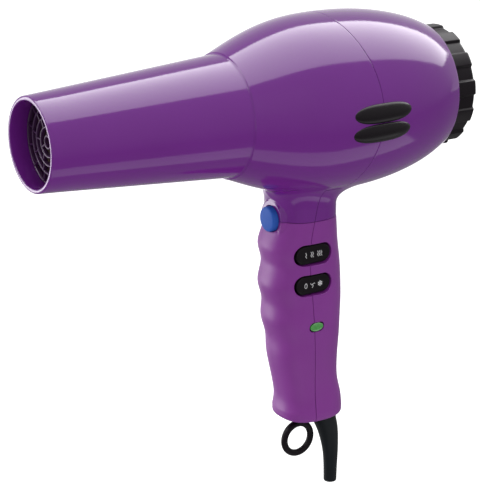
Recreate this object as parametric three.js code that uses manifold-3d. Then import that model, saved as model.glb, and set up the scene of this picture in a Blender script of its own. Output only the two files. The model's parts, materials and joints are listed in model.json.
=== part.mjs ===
// A corded pistol-grip hair dryer, about 2000 W class, as separate named pieces.
// Millimetres, +Z up. The nozzle points along -X and the switches face -Y.
// The origin is the middle of the hand grip.
import * as THREE from 'three';
import { mergeVertices } from 'three/addons/utils/BufferGeometryUtils.js';
import Module from 'manifold-3d';

const wasm = await Module();
wasm.setup();

// ---------- driving dimensions ----------
const AXIS_HEIGHT = 108; // barrel axis above the middle of the grip
const WALL = 2.2; // moulded shell wall
const GAP = 0.3; // clearance where two pieces seat on each other
const RUNNING_GAP = 0.7; // clearance round pieces that turn or slide

const OUTLET_X = -152; // front end of the barrel
const OUTLET_RADIUS = 22.6;
const BARREL_BACK_RADIUS = 30.4; // where the barrel meets the body
const BODY_FRONT_X = -48.7;
const SPIGOT_RADIUS = 28.2; // barrel's collar inside the body
const SPIGOT_LENGTH = 10;

// Outer outline of the body along the barrel axis: [x, radius]
const BODY_OUTLINE = [
  [BODY_FRONT_X, 31.2], [-28.2, 39.2], [-7.8, 44.2], [12.7, 45.5],
  [33.2, 44.6], [53.6, 41.2], [66, 37.4], [73, 34.4],
];
const BODY_BACK_X = 74.1;
const BODY_BACK_RADIUS = 33.4;
const MOUTH_RADIUS = 32.1; // opening at the back that takes the filter cap
const MOUTH_DEPTH = 8.4;
const BODY_SIDES = 36;
const HOLLOW_SIDES = 24;

// Parting lines between front and rear mouldings
const RING_SEAM_X = 16.4; // seam round the body, at its sides
const RING_SEAM_BOW = 8; // how far forward it runs at the body's top
const BODY_WIDEST_RADIUS = 45.5;
const SHELF_HEIGHT = 68; // level where that seam turns forward under the body
const NECK_SEAM = [[-0.7, SHELF_HEIGHT], [-3.4, 53], [-5.6, 42], [-4.6, 10], [-0.3, -53]];
const NECK_HEIGHT = 51; // level of the seam between the body and the handle

// Handle: front and back outlines [height, x] and half width [height, y]
const GRIP_FRONT = [
  [51, -18.3], [45, -19.4], [37, -22.4], [27, -20.4], [16.5, -22.5], [6, -20],
  [-3, -20.4], [-13, -17.6], [-21.5, -17], [-32, -15.2], [-44, -12.6], [-50, -12], [-55, -12.8],
];
const GRIP_BACK = [
  [51, 16.6], [44, 17.3], [30, 19], [16, 20.4], [4, 20.5], [-10, 20],
  [-32, 19.1], [-40, 19.8], [-48, 21.8], [-55, 22.6],
];
const GRIP_HALF_WIDTH = [[51, 17.3], [16, 17.6], [-20, 17], [-44, 15.8], [-55, 16.4]];
const GRIP_BOTTOM = -60;
const BOTTOM_ROUNDING = 2.5;
const GRIP_SQUARENESS = 2.5; // superellipse exponent of the grip's section

// Where the neck spreads onto the body: centre, half length and half width
const BEND_HEIGHT = 57.5; // where the neck starts to spread
const FOOT_CENTRE_X = 3;
const FOOT_HALF_LENGTH = 26.5;
const FOOT_HALF_WIDTH = 24.5;

// Outlet grille
const GRILLE_SETBACK = 9;
const GRILLE_DEPTH = 2.6;
const GRILLE_RINGS = [2.9, 7, 11.2, 15.3]; // mean radii
const GRILLE_SPOKES = [3, 6, 9, 12]; // spokes outside each ring
const GRILLE_BAR = 1.3;

// Filter cap at the back
const CAP_BACK_X = 87;
const CAP_BORE_RADIUS = 28.4;
const CAP_LIP_RADIUS = 26.6;
const CAP_TEETH = 13;
const TOOTH_GAP_RADIUS = 7; // radius of the hollow between two teeth
const TOOTH_HEIGHT = 1.3;
const REAR_GRILLE_THICKNESS = 2.4;
const REAR_GRILLE_RINGS = [5, 13, 20.5];
const REAR_GRILLE_SPOKES = 6;
const SCREEN_THICKNESS = 0.8;

// Side pads
const PAD_LENGTH = 35;
const PAD_HEIGHT = 9.2;
const PAD_BULGE = 2;
const PAD_CENTRE_X = 16.6;
const PAD_ANGLES = { upper: 2.7, lower: -10 }; // degrees above the side line

// Controls on the left side of the grip
const ROCKER_LENGTH = 20.4;
const ROCKER_HEIGHT = 9.6;
const ROCKER_THICKNESS = 3.6;
const ROCKER_CLEARANCE = 0.8;
const ROCKER_PLACES = { heat: [-3.6, 33.7], speed: [-3.4, 17.5] };
const ROCKER_FACE_Y = -16.6;
const ROCKER_SWING_GAP = 1.2; // room behind a tilted rocker
const SWITCH_LENGTH = 15;
const SWITCH_HEIGHT = 10;
const LENS_LENGTH = 8;
const LENS_HEIGHT = 4.4;
const LENS_PLACE = [-1.6, -5.6];
const BOARD_SIZE = [24, 1.6, 52];
const BOARD_PLACE = [-1, 4, 14];
const CAPACITOR_SIZE = [13, 7, 11];

// Cool-shot button at the top of the grip's front
const BUTTON_RADIUS = 6.5;
const BUTTON_FACE_X = -21.6;
const BUTTON_HEIGHT = NECK_HEIGHT;
const BUTTON_FLANGE = 1.2;
const BUTTON_FLANGE_X = -14.6;
const BUTTON_FLANGE_RADIUS = 7.8;
const COLLAR_RADIUS = 10;
const COLLAR_FACE_X = -18.8;
const SPRING_RADIUS = 3.4;
const SPRING_WIRE = 0.4;
const COOL_SWITCH_SIZE = [5, 7, 9];

// Hanging loop
const LOOP_X = -0.9;
const LOOP_RADIUS = 8.4;
const LOOP_WIRE = 1.8;
const LOOP_CENTRE_Z = -74.2;
const LOOP_PIN_RADIUS = 1.7;
const LOOP_HEAD_RADIUS = 3.4;
const LOOP_HEAD_THICKNESS = 1.5;
const LOOP_SHOULDER_RADIUS = 2.7;
const LOOP_SHOULDER_HEIGHT = 2.6;

// Screws: one holds the handle's halves, two hold the cord clamp
const SCREW_HEIGHT = -24;
const SCREW_SHANK = 1.5;
const SCREW_HEAD = 2.8;
const SCREW_SEAT_X = 15;
const SCREW_BOSS = 3.4;
const CLAMP_HEIGHT = -47;
const CLAMP_X = 8;
const CLAMP_SCREWS = [-8.4, 8.4];
const CLAMP_SCREW_SHANK = 1.2;
const CLAMP_SCREW_HEAD = 2.3;
const CLAMP_BAR = [6, 22, 3.4];

// Strain relief boot: [x, height, radius] from the handle downwards
const BOOT_LINE = [
  [14.2, -60.3, 7.3], [16.2, -66, 6.7], [18.4, -72, 5.9], [20, -79, 5],
  [21, -87, 4.2], [21.2, -96, 3.7], [21.2, -104.6, 3.5],
];
const BOOT_BORE = 2.6;
const BOOT_BORE_DEPTH = 14;
const BOOT_NECK_RADIUS = 5;
const BOOT_FLANGE_RADIUS = 5.5;
const BOOT_FLANGE_THICKNESS = 2;

// Fan, motor and duct
const DUCT_RADIUS = 35; // outside
const DUCT_WALL = 1.6;
const DUCT_FRONT_X = -20;
const DUCT_BACK_X = 54;
const HUB_RADIUS = 16; // outside of the motor's seat
const HUB_WALL = 1.4;
const HUB_FRONT_X = -8;
const HUB_BACK_X = 29;
const VANES = 7;
const VANE_THICKNESS = 1.6;
const ISOLATOR_LENGTH = 8;
const ISOLATOR_PLACES = { front: -6, rear: 42 };
const MOTOR_WALL = 1.2;
const MOTOR_FRONT_X = -4;
const MOTOR_BACK_X = 30;
const SHAFT_RADIUS = 1.5;
const SHAFT_FRONT_X = -6.4;
const FAN_FRONT_X = 35;
const FAN_BACK_X = 47;
const FAN_HUB_RADIUS = 12;
const FAN_BLADES = 9;
const FAN_BLADE_THICKNESS = 1.6;
const FAN_PITCH = THREE.MathUtils.degToRad(52);
const ARMATURE_RADIUS = 9.2;
const MAGNET_THICKNESS = 2.2;
const COMMUTATOR_RADIUS = 4.2;
const BEARING_RADIUS = 4;

// Heater inside the barrel
const HEATER_FRONT_X = -139;
const HEATER_BACK_X = -62;
const MICA_TUBE_WALL = 0.7;
const BOARD_THICKNESS = 0.8;
const COIL_WIRE = 0.8;
const COIL_TURNS = 4;
const COIL_PLACES = { front: [-134, -104], rear: [-98, -68] };
const COIL_FRAME_RADIUS = 16;

// ---------- helpers ----------
const group = new THREE.Group();

/** A closed solid from a three.js geometry, with its faces outwards. */
function solid(geometry) {
  const bare = new THREE.BufferGeometry();
  bare.setAttribute('position', geometry.getAttribute('position'));
  bare.setIndex(geometry.getIndex());
  const merged = mergeVertices(bare, 1e-4);
  const places = merged.getAttribute('position');
  const index = merged.getIndex().array;
  const triangles = [];
  let volume = 0;
  const [a, b, c] = [new THREE.Vector3(), new THREE.Vector3(), new THREE.Vector3()];
  for (let i = 0; i < index.length; i += 3) {
    const [p, q, r] = [index[i], index[i + 1], index[i + 2]];
    if (p === q || q === r || r === p) continue;
    triangles.push(p, q, r);
    a.fromBufferAttribute(places, p);
    b.fromBufferAttribute(places, q);
    c.fromBufferAttribute(places, r);
    volume += a.dot(b.cross(c));
  }
  if (volume < 0) {
    for (let i = 0; i < triangles.length; i += 3) {
      [triangles[i], triangles[i + 1]] = [triangles[i + 1], triangles[i]];
    }
  }
  return new wasm.Manifold(new wasm.Mesh({
    numProp: 3,
    vertProperties: new Float32Array(places.array),
    triVerts: new Uint32Array(triangles),
  }));
}

/** Adds one named piece to the model. */
function piece(name, finish, body) {
  const mesh = body.getMesh();
  const geometry = new THREE.BufferGeometry();
  geometry.setAttribute('position', new THREE.BufferAttribute(mesh.vertProperties, 3));
  geometry.setIndex(new THREE.BufferAttribute(mesh.triVerts, 1));
  geometry.computeVertexNormals();
  const node = new THREE.Mesh(geometry, new THREE.MeshStandardMaterial(finish));
  node.name = name;
  group.add(node);
}

/** Solid of revolution about the barrel axis from [x, radius] points. */
function turned(outline, sides = 32) {
  const points = outline.map(([x, radius]) => new THREE.Vector2(radius, x));
  const geometry = new THREE.LatheGeometry(points, sides);
  geometry.rotateZ(-Math.PI / 2);
  return solid(geometry.translate(0, 0, AXIS_HEIGHT));
}

/** Ring about the barrel axis. */
function ring(front, back, inner, outer, sides = 32) {
  return turned([[front, inner], [back, inner], [back, outer], [front, outer], [front, inner]], sides);
}

/** Round bar along the barrel axis, by default centred on it. */
function barX(front, back, radius, sides = 16, y = 0, z = AXIS_HEIGHT) {
  const geometry = new THREE.CylinderGeometry(radius, radius, back - front, sides);
  geometry.rotateZ(Math.PI / 2);
  return solid(geometry.translate((front + back) / 2, y, z));
}

/** Upright round bar. */
function barZ(bottom, top, radius, x, y, sides = 16) {
  const geometry = new THREE.CylinderGeometry(radius, radius, top - bottom, sides);
  geometry.rotateX(Math.PI / 2);
  return solid(geometry.translate(x, y, (bottom + top) / 2));
}

/** Box from its size and centre. */
function box(size, centre) {
  return solid(new THREE.BoxGeometry(...size).translate(...centre));
}

/** A flat outline in the XZ plane, given thickness along Y from near to far. */
function plateXZ(shape, near, far, curveSegments = 8) {
  const settings = { depth: far - near, bevelEnabled: false, curveSegments };
  const geometry = new THREE.ExtrudeGeometry(shape, settings);
  geometry.rotateX(Math.PI / 2);
  return solid(geometry.translate(0, far, 0));
}

/** Shape with round ends, centred on a point. */
function stadium(length, height, x, z) {
  const radius = height / 2;
  const reach = length / 2 - radius;
  const shape = new THREE.Shape();
  shape.absarc(x + reach, z, radius, -Math.PI / 2, Math.PI / 2);
  shape.absarc(x - reach, z, radius, Math.PI / 2, 1.5 * Math.PI);
  return shape;
}

/** Round wire along a curve. */
function wire(curve, radius, steps, sides = 8) {
  const section = new THREE.Shape().absarc(0, 0, radius, 0, 2 * Math.PI);
  const settings = { steps, extrudePath: curve, curveSegments: sides / 2 };
  return solid(new THREE.ExtrudeGeometry(section, settings));
}

/** Smooth curve through [a, b] pairs, read as b for a given a. */
function along(pairs) {
  const curve = new THREE.SplineCurve(pairs.map(([a, b]) => new THREE.Vector2(a, b)));
  const samples = curve.getPoints(20 * pairs.length);
  return (a) => {
    const rising = samples[0].x < samples.at(-1).x;
    const next = samples.findIndex((s) => (rising ? s.x >= a : s.x <= a));
    if (next < 0) return samples.at(-1).y;
    if (next === 0) return samples[0].y;
    const [low, high] = [samples[next - 1], samples[next]];
    return THREE.MathUtils.mapLinear(a, low.x, high.x, low.y, high.y);
  };
}

/** Closed solid from stacked rings: place(level, direction, reach) gives each point. */
function loft(levels, sides, place) {
  const geometry = new THREE.CylinderGeometry(1, 1, 1, sides, levels - 1);
  const places = geometry.getAttribute('position');
  for (let i = 0; i < places.count; i += 1) {
    const level = Math.round((places.getY(i) + 0.5) * (levels - 1));
    const [x, y] = [places.getX(i), places.getZ(i)];
    const target = place(level, Math.atan2(y, x), Math.hypot(x, y));
    places.setXYZ(i, target.x, target.y, target.z);
  }
  return solid(geometry);
}

/** Point of a superellipse of the grip's squareness. */
function roundedPoint(angle, halfLength, halfWidth) {
  const power = 2 / GRIP_SQUARENESS;
  const stretch = (value) => Math.sign(value) * Math.abs(value) ** power;
  return [halfLength * stretch(Math.cos(angle)), halfWidth * stretch(Math.sin(angle))];
}

const joined = (...solids) => solids.reduce((whole, next) => whole.add(next));

// ---------- finishes ----------
const PURPLE = { color: 0x7a4090, roughness: 0.16, metalness: 0 };
const SATIN_PURPLE = { color: 0x753a86, roughness: 0.32, metalness: 0 };
const DARK_PURPLE = { color: 0x4a2a58, roughness: 0.35, metalness: 0 };
const BLACK = { color: 0x1b181b, roughness: 0.45, metalness: 0 };
const SOFT_BLACK = { color: 0x16161a, roughness: 0.7, metalness: 0 };
const BLUE = { color: 0x2f6db5, roughness: 0.3, metalness: 0 };
const GREEN = { color: 0x3f9c3f, roughness: 0.2, metalness: 0 };
const STEEL = { color: 0x9a9c9e, roughness: 0.35, metalness: 1 };
const COPPER = { color: 0xa5673f, roughness: 0.4, metalness: 1 };
const NICHROME = { color: 0x6d6a68, roughness: 0.45, metalness: 1 };
const MICA = { color: 0xa89878, roughness: 0.6, metalness: 0 };
const GREEN_BOARD = { color: 0x1f5a3a, roughness: 0.5, metalness: 0 };
const CREAM = { color: 0xd8d2c0, roughness: 0.5, metalness: 0 };
const MESH_GREY = { color: 0x5a5a5e, roughness: 0.5, metalness: 0.6 };

// ---------- shapes that several pieces share ----------
const bodyRadius = along([...BODY_OUTLINE, [BODY_BACK_X, BODY_BACK_RADIUS]]);
const gripFront = along(GRIP_FRONT);
const gripBack = along(GRIP_BACK);
const gripHalfWidth = along(GRIP_HALF_WIDTH);
const barrelRadius = (x) => THREE.MathUtils.mapLinear(
  x, OUTLET_X, BODY_FRONT_X, OUTLET_RADIUS, BARREL_BACK_RADIUS);

/** Point on the grip's surface, moved inwards by inset; reach 0 is its centre line. */
function gripPoint(height, angle, reach, inset) {
  const clamped = Math.max(height, -55);
  const front = gripFront(clamped);
  const back = gripBack(clamped);
  const rise = Math.max(0, GRIP_BOTTOM + BOTTOM_ROUNDING - height);
  const rounding = BOTTOM_ROUNDING - Math.sqrt(BOTTOM_ROUNDING ** 2 - rise ** 2);
  const halfLength = (back - front) / 2 - inset - rounding;
  const halfWidth = gripHalfWidth(clamped) - inset - rounding;
  const [x, y] = roundedPoint(angle, halfLength, halfWidth);
  return new THREE.Vector3((front + back) / 2 + reach * x, reach * y, height);
}

/** Underside of the body above a point of the plan. */
function bodyUnderside(x, y) {
  return AXIS_HEIGHT - Math.sqrt(Math.max(bodyRadius(x) ** 2 - y ** 2, 0));
}

/** The neck, drawn in by inset: a bend from the grip's top ring up and out onto the body. */
function neckSolid(inset) {
  const bends = 4;
  const foot = NECK_HEIGHT - 3 - (inset > 0 ? 1 : 0);
  const onBody = (x, y) => new THREE.Vector3(x, y, bodyUnderside(x, y) + inset);
  return loft(bends + 2, inset > 0 ? 16 : 24, (level, angle, reach) => {
    if (reach === 0) return new THREE.Vector3(0, 0, level === 0 ? foot : AXIS_HEIGHT - 30);
    const start = gripPoint(NECK_HEIGHT, angle, 1, inset);
    if (level === 0) return start.setZ(foot);
    const [x, y] = roundedPoint(angle, FOOT_HALF_LENGTH - inset, FOOT_HALF_WIDTH - inset);
    const bend = new THREE.QuadraticBezierCurve3(
      start.setZ(BEND_HEIGHT), onBody(start.x, start.y), onBody(FOOT_CENTRE_X + x, y));
    const place = bend.getPoint(Math.min(level - 1, bends - 1) / (bends - 1));
    return level <= bends ? place : place.setZ(place.z + WALL);
  });
}

/** The grip as a full solid, drawn in by inset, between two levels. */
function gripSolid(inset, bottom, top, levels, sides) {
  const rounds = inset === 0 ? 3 : 0;
  return loft(levels + rounds, sides, (level, angle, reach) => {
    const height = level < rounds
      ? bottom + BOTTOM_ROUNDING * (1 - Math.cos((level * Math.PI) / 6))
      : THREE.MathUtils.mapLinear(level, rounds, levels + rounds - 1,
        bottom + (inset === 0 ? BOTTOM_ROUNDING : 0), top);
    return gripPoint(height, angle, reach, inset);
  });
}

/** Where the seam round the body is at a height: a parabola about the barrel's axis. */
function ringSeamX(height) {
  return RING_SEAM_X - RING_SEAM_BOW * ((height - AXIS_HEIGHT) / BODY_WIDEST_RADIUS) ** 2;
}

/** Everything in front of (side -1) or behind (side +1) the parting line. */
function partingRegion(side) {
  const shift = (side * GAP) / 2;
  const far = side * 300;
  const shape = new THREE.Shape();
  const top = AXIS_HEIGHT + BODY_WIDEST_RADIUS + 2;
  shape.moveTo(ringSeamX(top) + shift, 300);
  shape.lineTo(far, 300);
  shape.lineTo(far, -200);
  shape.lineTo(NECK_SEAM.at(-1)[0] + shift, -200);
  [...NECK_SEAM].reverse().forEach(([x, z]) => {
    shape.lineTo(x + shift, z === SHELF_HEIGHT ? z - shift : z);
  });
  for (let step = 0; step <= 24; step += 1) {
    const height = THREE.MathUtils.lerp(SHELF_HEIGHT - shift, top, step / 24);
    shape.lineTo(ringSeamX(height) + shift, height);
  }
  return plateXZ(shape, -80, 80);
}

const frontRegion = partingRegion(-1);
const rearRegion = partingRegion(1);

// ---------- body and barrel mouldings ----------
/** The body's outer outline as [x, radius] points. */
function bodyLine() {
  const curve = new THREE.SplineCurve(BODY_OUTLINE.map(([x, r]) => new THREE.Vector2(x, r)));
  return curve.getPoints(11).map((p) => [p.x, p.y]);
}

/** The room inside the body, drawn in further by inset. */
function bodyHollow(inset) {
  const front = BODY_FRONT_X + SPIGOT_LENGTH;
  const back = BODY_BACK_X - MOUTH_DEPTH;
  const depth = WALL + inset;
  const inside = bodyLine().filter(([x]) => x > front + 2 && x < back - 2);
  const line = [[front, bodyRadius(front)], ...inside, [back, bodyRadius(back)]];
  return turned([[front, 0], ...line.map(([x, r]) => [x, r - depth]), [back, 0]], HOLLOW_SIDES);
}

function bodyShells() {
  const outline = bodyLine();
  const outer = turned([
    [BODY_FRONT_X, 0], ...outline, [BODY_BACK_X, BODY_BACK_RADIUS], [BODY_BACK_X, 0],
  ], BODY_SIDES);
  const collar = barX(BODY_FRONT_X - 1, BODY_FRONT_X + SPIGOT_LENGTH + 1, SPIGOT_RADIUS + GAP, BODY_SIDES);
  const mouth = barX(BODY_BACK_X - MOUTH_DEPTH, BODY_BACK_X + 1, MOUTH_RADIUS, BODY_SIDES);
  const hollow = joined(bodyHollow(0), collar, mouth);
    const boss = barX(COLLAR_FACE_X, BUTTON_FLANGE_X - 1, COLLAR_RADIUS, 20, 0, BUTTON_HEIGHT);
  const whole = outer.add(neckSolid(0)).add(boss).subtract(hollow).subtract(neckSolid(WALL))
    .subtract(buttonRoom());
  const above = box([600, 200, 300], [0, 0, NECK_HEIGHT + GAP / 2 + 150]);
  const upper = whole.intersect(above).subtract(padPockets());
  piece('body_front_shell', PURPLE, upper.intersect(frontRegion));
  piece('body_rear_shell', PURPLE, upper.intersect(rearRegion));
}

/** Room for the button: its bore and the wider pocket behind it. */
function buttonRoom() {
  const bore = barX(-40, 0, BUTTON_RADIUS + GAP, 20, 0, BUTTON_HEIGHT);
  const pocket = barX(BUTTON_FLANGE_X - GAP, 0, BUTTON_FLANGE_RADIUS + GAP, 20, 0, BUTTON_HEIGHT);
  return bore.add(pocket);
}

function barrel() {
  const back = BODY_FRONT_X - GAP;
  const spigotBack = BODY_FRONT_X + SPIGOT_LENGTH;
  piece('front_barrel', PURPLE, turned([
    [OUTLET_X, OUTLET_RADIUS - WALL], [OUTLET_X, OUTLET_RADIUS - 0.5],
    [OUTLET_X + 0.6, OUTLET_RADIUS], [back, barrelRadius(back)], [back, SPIGOT_RADIUS],
    [spigotBack, SPIGOT_RADIUS], [spigotBack, SPIGOT_RADIUS - WALL],
    [OUTLET_X, OUTLET_RADIUS - WALL],
  ], 32));
}

/** Inside radius of the barrel at x. */
function barrelBore(x) {
  return THREE.MathUtils.mapLinear(
    x, OUTLET_X, BODY_FRONT_X + SPIGOT_LENGTH, OUTLET_RADIUS - WALL, SPIGOT_RADIUS - WALL);
}

function outletGrille() {
  const front = OUTLET_X + GRILLE_SETBACK;
  const back = front + GRILLE_DEPTH;
  const rimOuter = barrelBore(front) - GAP;
  const rimInner = rimOuter - GRILLE_BAR;
  const half = GRILLE_BAR / 2;
  const rings = GRILLE_RINGS.map((radius, i) => (
    ring(front, back, radius - half, radius + half, 12 + 4 * i)));
  const spokes = [];
  GRILLE_RINGS.forEach((radius, i) => {
    const outer = GRILLE_RINGS[i + 1] ?? rimInner + half;
    const length = outer - radius;
    for (let k = 0; k < GRILLE_SPOKES[i]; k += 1) {
      const angle = (2 * Math.PI * (k + (i % 2) / 2)) / GRILLE_SPOKES[i];
      const bar = new THREE.BoxGeometry(GRILLE_DEPTH, GRILLE_BAR, length);
      bar.translate(0, 0, radius + length / 2).rotateX(angle);
      spokes.push(solid(bar.translate((front + back) / 2, 0, AXIS_HEIGHT)));
    }
  });
  const rim = ring(front, back, rimInner, rimOuter, 24);
  piece('outlet_grille', DARK_PURPLE, joined(rim, ...rings, ...spokes));
}

// ---------- side pads ----------
/** Outline of one pad: two arcs that meet in points at its ends. */
function padOutline(grow) {
  const half = PAD_LENGTH / 2 + grow;
  const rise = PAD_HEIGHT / 2 + grow;
  const shape = new THREE.Shape();
  shape.moveTo(-half, 0);
  shape.quadraticCurveTo(-half * 0.5, rise * 1.12, 0, rise);
  shape.quadraticCurveTo(half * 0.5, rise * 1.12 - 0.3, half, 0);
  shape.quadraticCurveTo(half * 0.5, -rise * 1.12, 0, -rise);
  shape.quadraticCurveTo(-half * 0.5, -rise * 1.12, -half, 0);
  return shape;
}

/** Prism through the shell wall in the place of one pad; side -1 is the left. */
function padPrism(side, angle, grow) {
  const settings = { depth: 20, bevelEnabled: false, curveSegments: 5 };
  const geometry = new THREE.ExtrudeGeometry(padOutline(grow), settings);
  geometry.rotateX(Math.PI / 2);
  geometry.translate(PAD_CENTRE_X, side < 0 ? -32 : 52, 0);
  geometry.rotateX(-side * THREE.MathUtils.degToRad(-angle));
  return solid(geometry.translate(0, 0, AXIS_HEIGHT));
}

const PAD_SEAT_DEPTH = 1.2; // how far a pad is let into the shell

/** Body of revolution that follows the shell's outside, moved out by grow. */
function shellBarrel(grow) {
  const places = [-6, 8, 20, 30, 40];
  return turned([[-6, 0], ...places.map((x) => [x, bodyRadius(x) + grow]), [40, 0]], 36);
}

function padPockets() {
  const skin = shellBarrel(10).subtract(shellBarrel(-PAD_SEAT_DEPTH));
  const prisms = [];
  for (const side of [-1, 1]) {
    for (const angle of Object.values(PAD_ANGLES)) prisms.push(padPrism(side, angle, GAP));
  }
  return skin.intersect(joined(...prisms));
}

function sidePads() {
  const skin = shellBarrel(PAD_BULGE * 0.6).subtract(shellBarrel(GAP - PAD_SEAT_DEPTH));
  for (const [sideName, side] of [['left', -1], ['right', 1]]) {
    for (const [level, angle] of Object.entries(PAD_ANGLES)) {
      piece(`side_pad_${level}_${sideName}`, BLACK, skin.intersect(padPrism(side, angle, 0)));
    }
  }
}

// ---------- handle mouldings ----------
function rockerHole([x, z]) {
  const length = ROCKER_LENGTH + 2 * ROCKER_CLEARANCE;
  const height = ROCKER_HEIGHT + 2 * ROCKER_CLEARANCE;
  return plateXZ(stadium(length, height, x, z), -30, -8, 6);
}

function handleShells() {
  const outer = gripSolid(0, GRIP_BOTTOM, NECK_HEIGHT, 16, 22);
  const hollow = gripSolid(WALL, GRIP_BOTTOM + WALL + 0.4, NECK_HEIGHT + 1, 5, 14);
  const lens = plateXZ(stadium(LENS_LENGTH + 2 * GAP, LENS_HEIGHT + 2 * GAP, ...LENS_PLACE), -30, -8, 5);
  const boss = barX(COLLAR_FACE_X, BUTTON_FLANGE_X - 1, COLLAR_RADIUS, 20, 0, BUTTON_HEIGHT);
  const boot = barZ(GRIP_BOTTOM - 5, GRIP_BOTTOM + 8, BOOT_NECK_RADIUS + GAP, BOOT_LINE[0][0], 0);
  const loopHole = barZ(GRIP_BOTTOM - 5, GRIP_BOTTOM + 8, LOOP_PIN_RADIUS + GAP, LOOP_X, 0);
  const screwBoss = barX(-16, 18, SCREW_BOSS, 16, 0, SCREW_HEIGHT);
  const screwRoom = joined(
    barX(-10, 30, SCREW_SHANK + GAP, 16, 0, SCREW_HEIGHT),
    barX(SCREW_SEAT_X, 30, SCREW_HEAD + GAP, 16, 0, SCREW_HEIGHT));
  const below = box([200, 200, 300], [0, 0, NECK_HEIGHT - GAP / 2 - 150]);
  const posts = CLAMP_SCREWS.map((y) => (
    box([6, 5, CLAMP_HEIGHT - GRIP_BOTTOM - 1], [CLAMP_X, y, (CLAMP_HEIGHT + GRIP_BOTTOM + 1) / 2])));
  const shell = joined(outer.subtract(hollow), boss, screwBoss, ...posts)
    .intersect(below)
    .subtract(joined(buttonRoom(), lens, boot, loopHole, screwRoom, ...CLAMP_SCREWS.map(clampPilot)))
    .subtract(joined(...Object.values(ROCKER_PLACES).map(rockerHole)));
  piece('handle_front_shell', SATIN_PURPLE, shell.intersect(frontRegion));
  piece('handle_rear_shell', SATIN_PURPLE, shell.intersect(rearRegion));
}

// ---------- controls ----------
function rockers() {
  for (const [name, [x, z]] of Object.entries(ROCKER_PLACES)) {
    const back = ROCKER_FACE_Y + ROCKER_THICKNESS;
    const paddle = plateXZ(stadium(ROCKER_LENGTH, ROCKER_HEIGHT, x, z), ROCKER_FACE_Y, back, 6);
    const dish = new THREE.CylinderGeometry(30, 30, ROCKER_HEIGHT + 2, 48);
    dish.rotateX(Math.PI / 2).translate(x, ROCKER_FACE_Y - 30 + 0.9, z);
    piece(`${name}_rocker`, BLACK, paddle.subtract(solid(dish)));
    const front = back + ROCKER_SWING_GAP;
    const rear = BOARD_PLACE[1] - BOARD_SIZE[1] / 2 - GAP;
    piece(`${name}_switch`, BLACK, box(
      [SWITCH_LENGTH, rear - front, SWITCH_HEIGHT], [x, (front + rear) / 2, z]));
  }
}

function indicator() {
  const [x, z] = LENS_PLACE;
  const face = -gripHalfWidth(z) - 0.3;
  piece('indicator_lens', GREEN, plateXZ(stadium(LENS_LENGTH, LENS_HEIGHT, x, z), face, face + 3, 5));
  const back = BOARD_PLACE[1] - BOARD_SIZE[1] / 2 - GAP;
  const front = face + 3 + GAP;
  const lamp = new THREE.CylinderGeometry(1.5, 1.5, 5, 12).translate(x, front + 2.5, z);
  const leads = [-0.8, 0.8].map((shift) => (
    box([0.6, back - front - 4, 0.6], [x + shift, (front + 4 + back) / 2, z])));
  piece('indicator_lamp', GREEN, joined(solid(lamp), ...leads));
}

function coolShot() {
  const rim = 0.7;
  const z = BUTTON_HEIGHT;
  const head = new THREE.LatheGeometry([
    [0, BUTTON_FACE_X - 0.4], [BUTTON_RADIUS * 0.6, BUTTON_FACE_X - 0.2],
    [BUTTON_RADIUS - rim, BUTTON_FACE_X + 0.1], [BUTTON_RADIUS, BUTTON_FACE_X + rim],
    [BUTTON_RADIUS, BUTTON_FLANGE_X], [BUTTON_FLANGE_RADIUS, BUTTON_FLANGE_X],
    [BUTTON_FLANGE_RADIUS, BUTTON_FLANGE_X + BUTTON_FLANGE], [0, BUTTON_FLANGE_X + BUTTON_FLANGE],
  ].map(([r, x]) => new THREE.Vector2(r, x)), 20);
  head.rotateZ(-Math.PI / 2).translate(0, 0, z);
  piece('cool_shot_button', BLUE, solid(head));
  const springFront = BUTTON_FLANGE_X + BUTTON_FLANGE + GAP;
  const springBack = springFront + 4;
  const coil = helixX(springFront + SPRING_WIRE, springBack - SPRING_WIRE, SPRING_RADIUS, 3, 0, z);
  piece('cool_shot_spring', STEEL, wire(coil, SPRING_WIRE, 24, 4));
  const [length, width, height] = COOL_SWITCH_SIZE;
  piece('cool_shot_switch', BLACK, box([length, width, height], [springBack + GAP + length / 2, -1, z]));
}

/** Helix along X about a line parallel to the barrel axis. */
function helixX(front, back, radius, turns, y = 0, z = AXIS_HEIGHT) {
  class Helix extends THREE.Curve {
    getPoint(t, target = new THREE.Vector3()) {
      const angle = 2 * Math.PI * turns * t;
      return target.set(
        front + (back - front) * t, y + radius * Math.sin(angle), z + radius * Math.cos(angle));
    }
  }
  return new Helix();
}

function controlBoard() {
  piece('control_board', GREEN_BOARD, box(BOARD_SIZE, BOARD_PLACE));
  const [x, y, z] = BOARD_PLACE;
  const face = y + BOARD_SIZE[1] / 2 + GAP;
  piece('suppression_capacitor', CREAM, box(CAPACITOR_SIZE, [x, face + CAPACITOR_SIZE[1] / 2, z - 14]));
}

// ---------- handle bottom: loop, boot, clamp and screws ----------
function clampPilot(y) {
  return barZ(CLAMP_HEIGHT - 7, CLAMP_HEIGHT + 1, CLAMP_SCREW_SHANK + GAP, CLAMP_X, y, 12);
}

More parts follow.
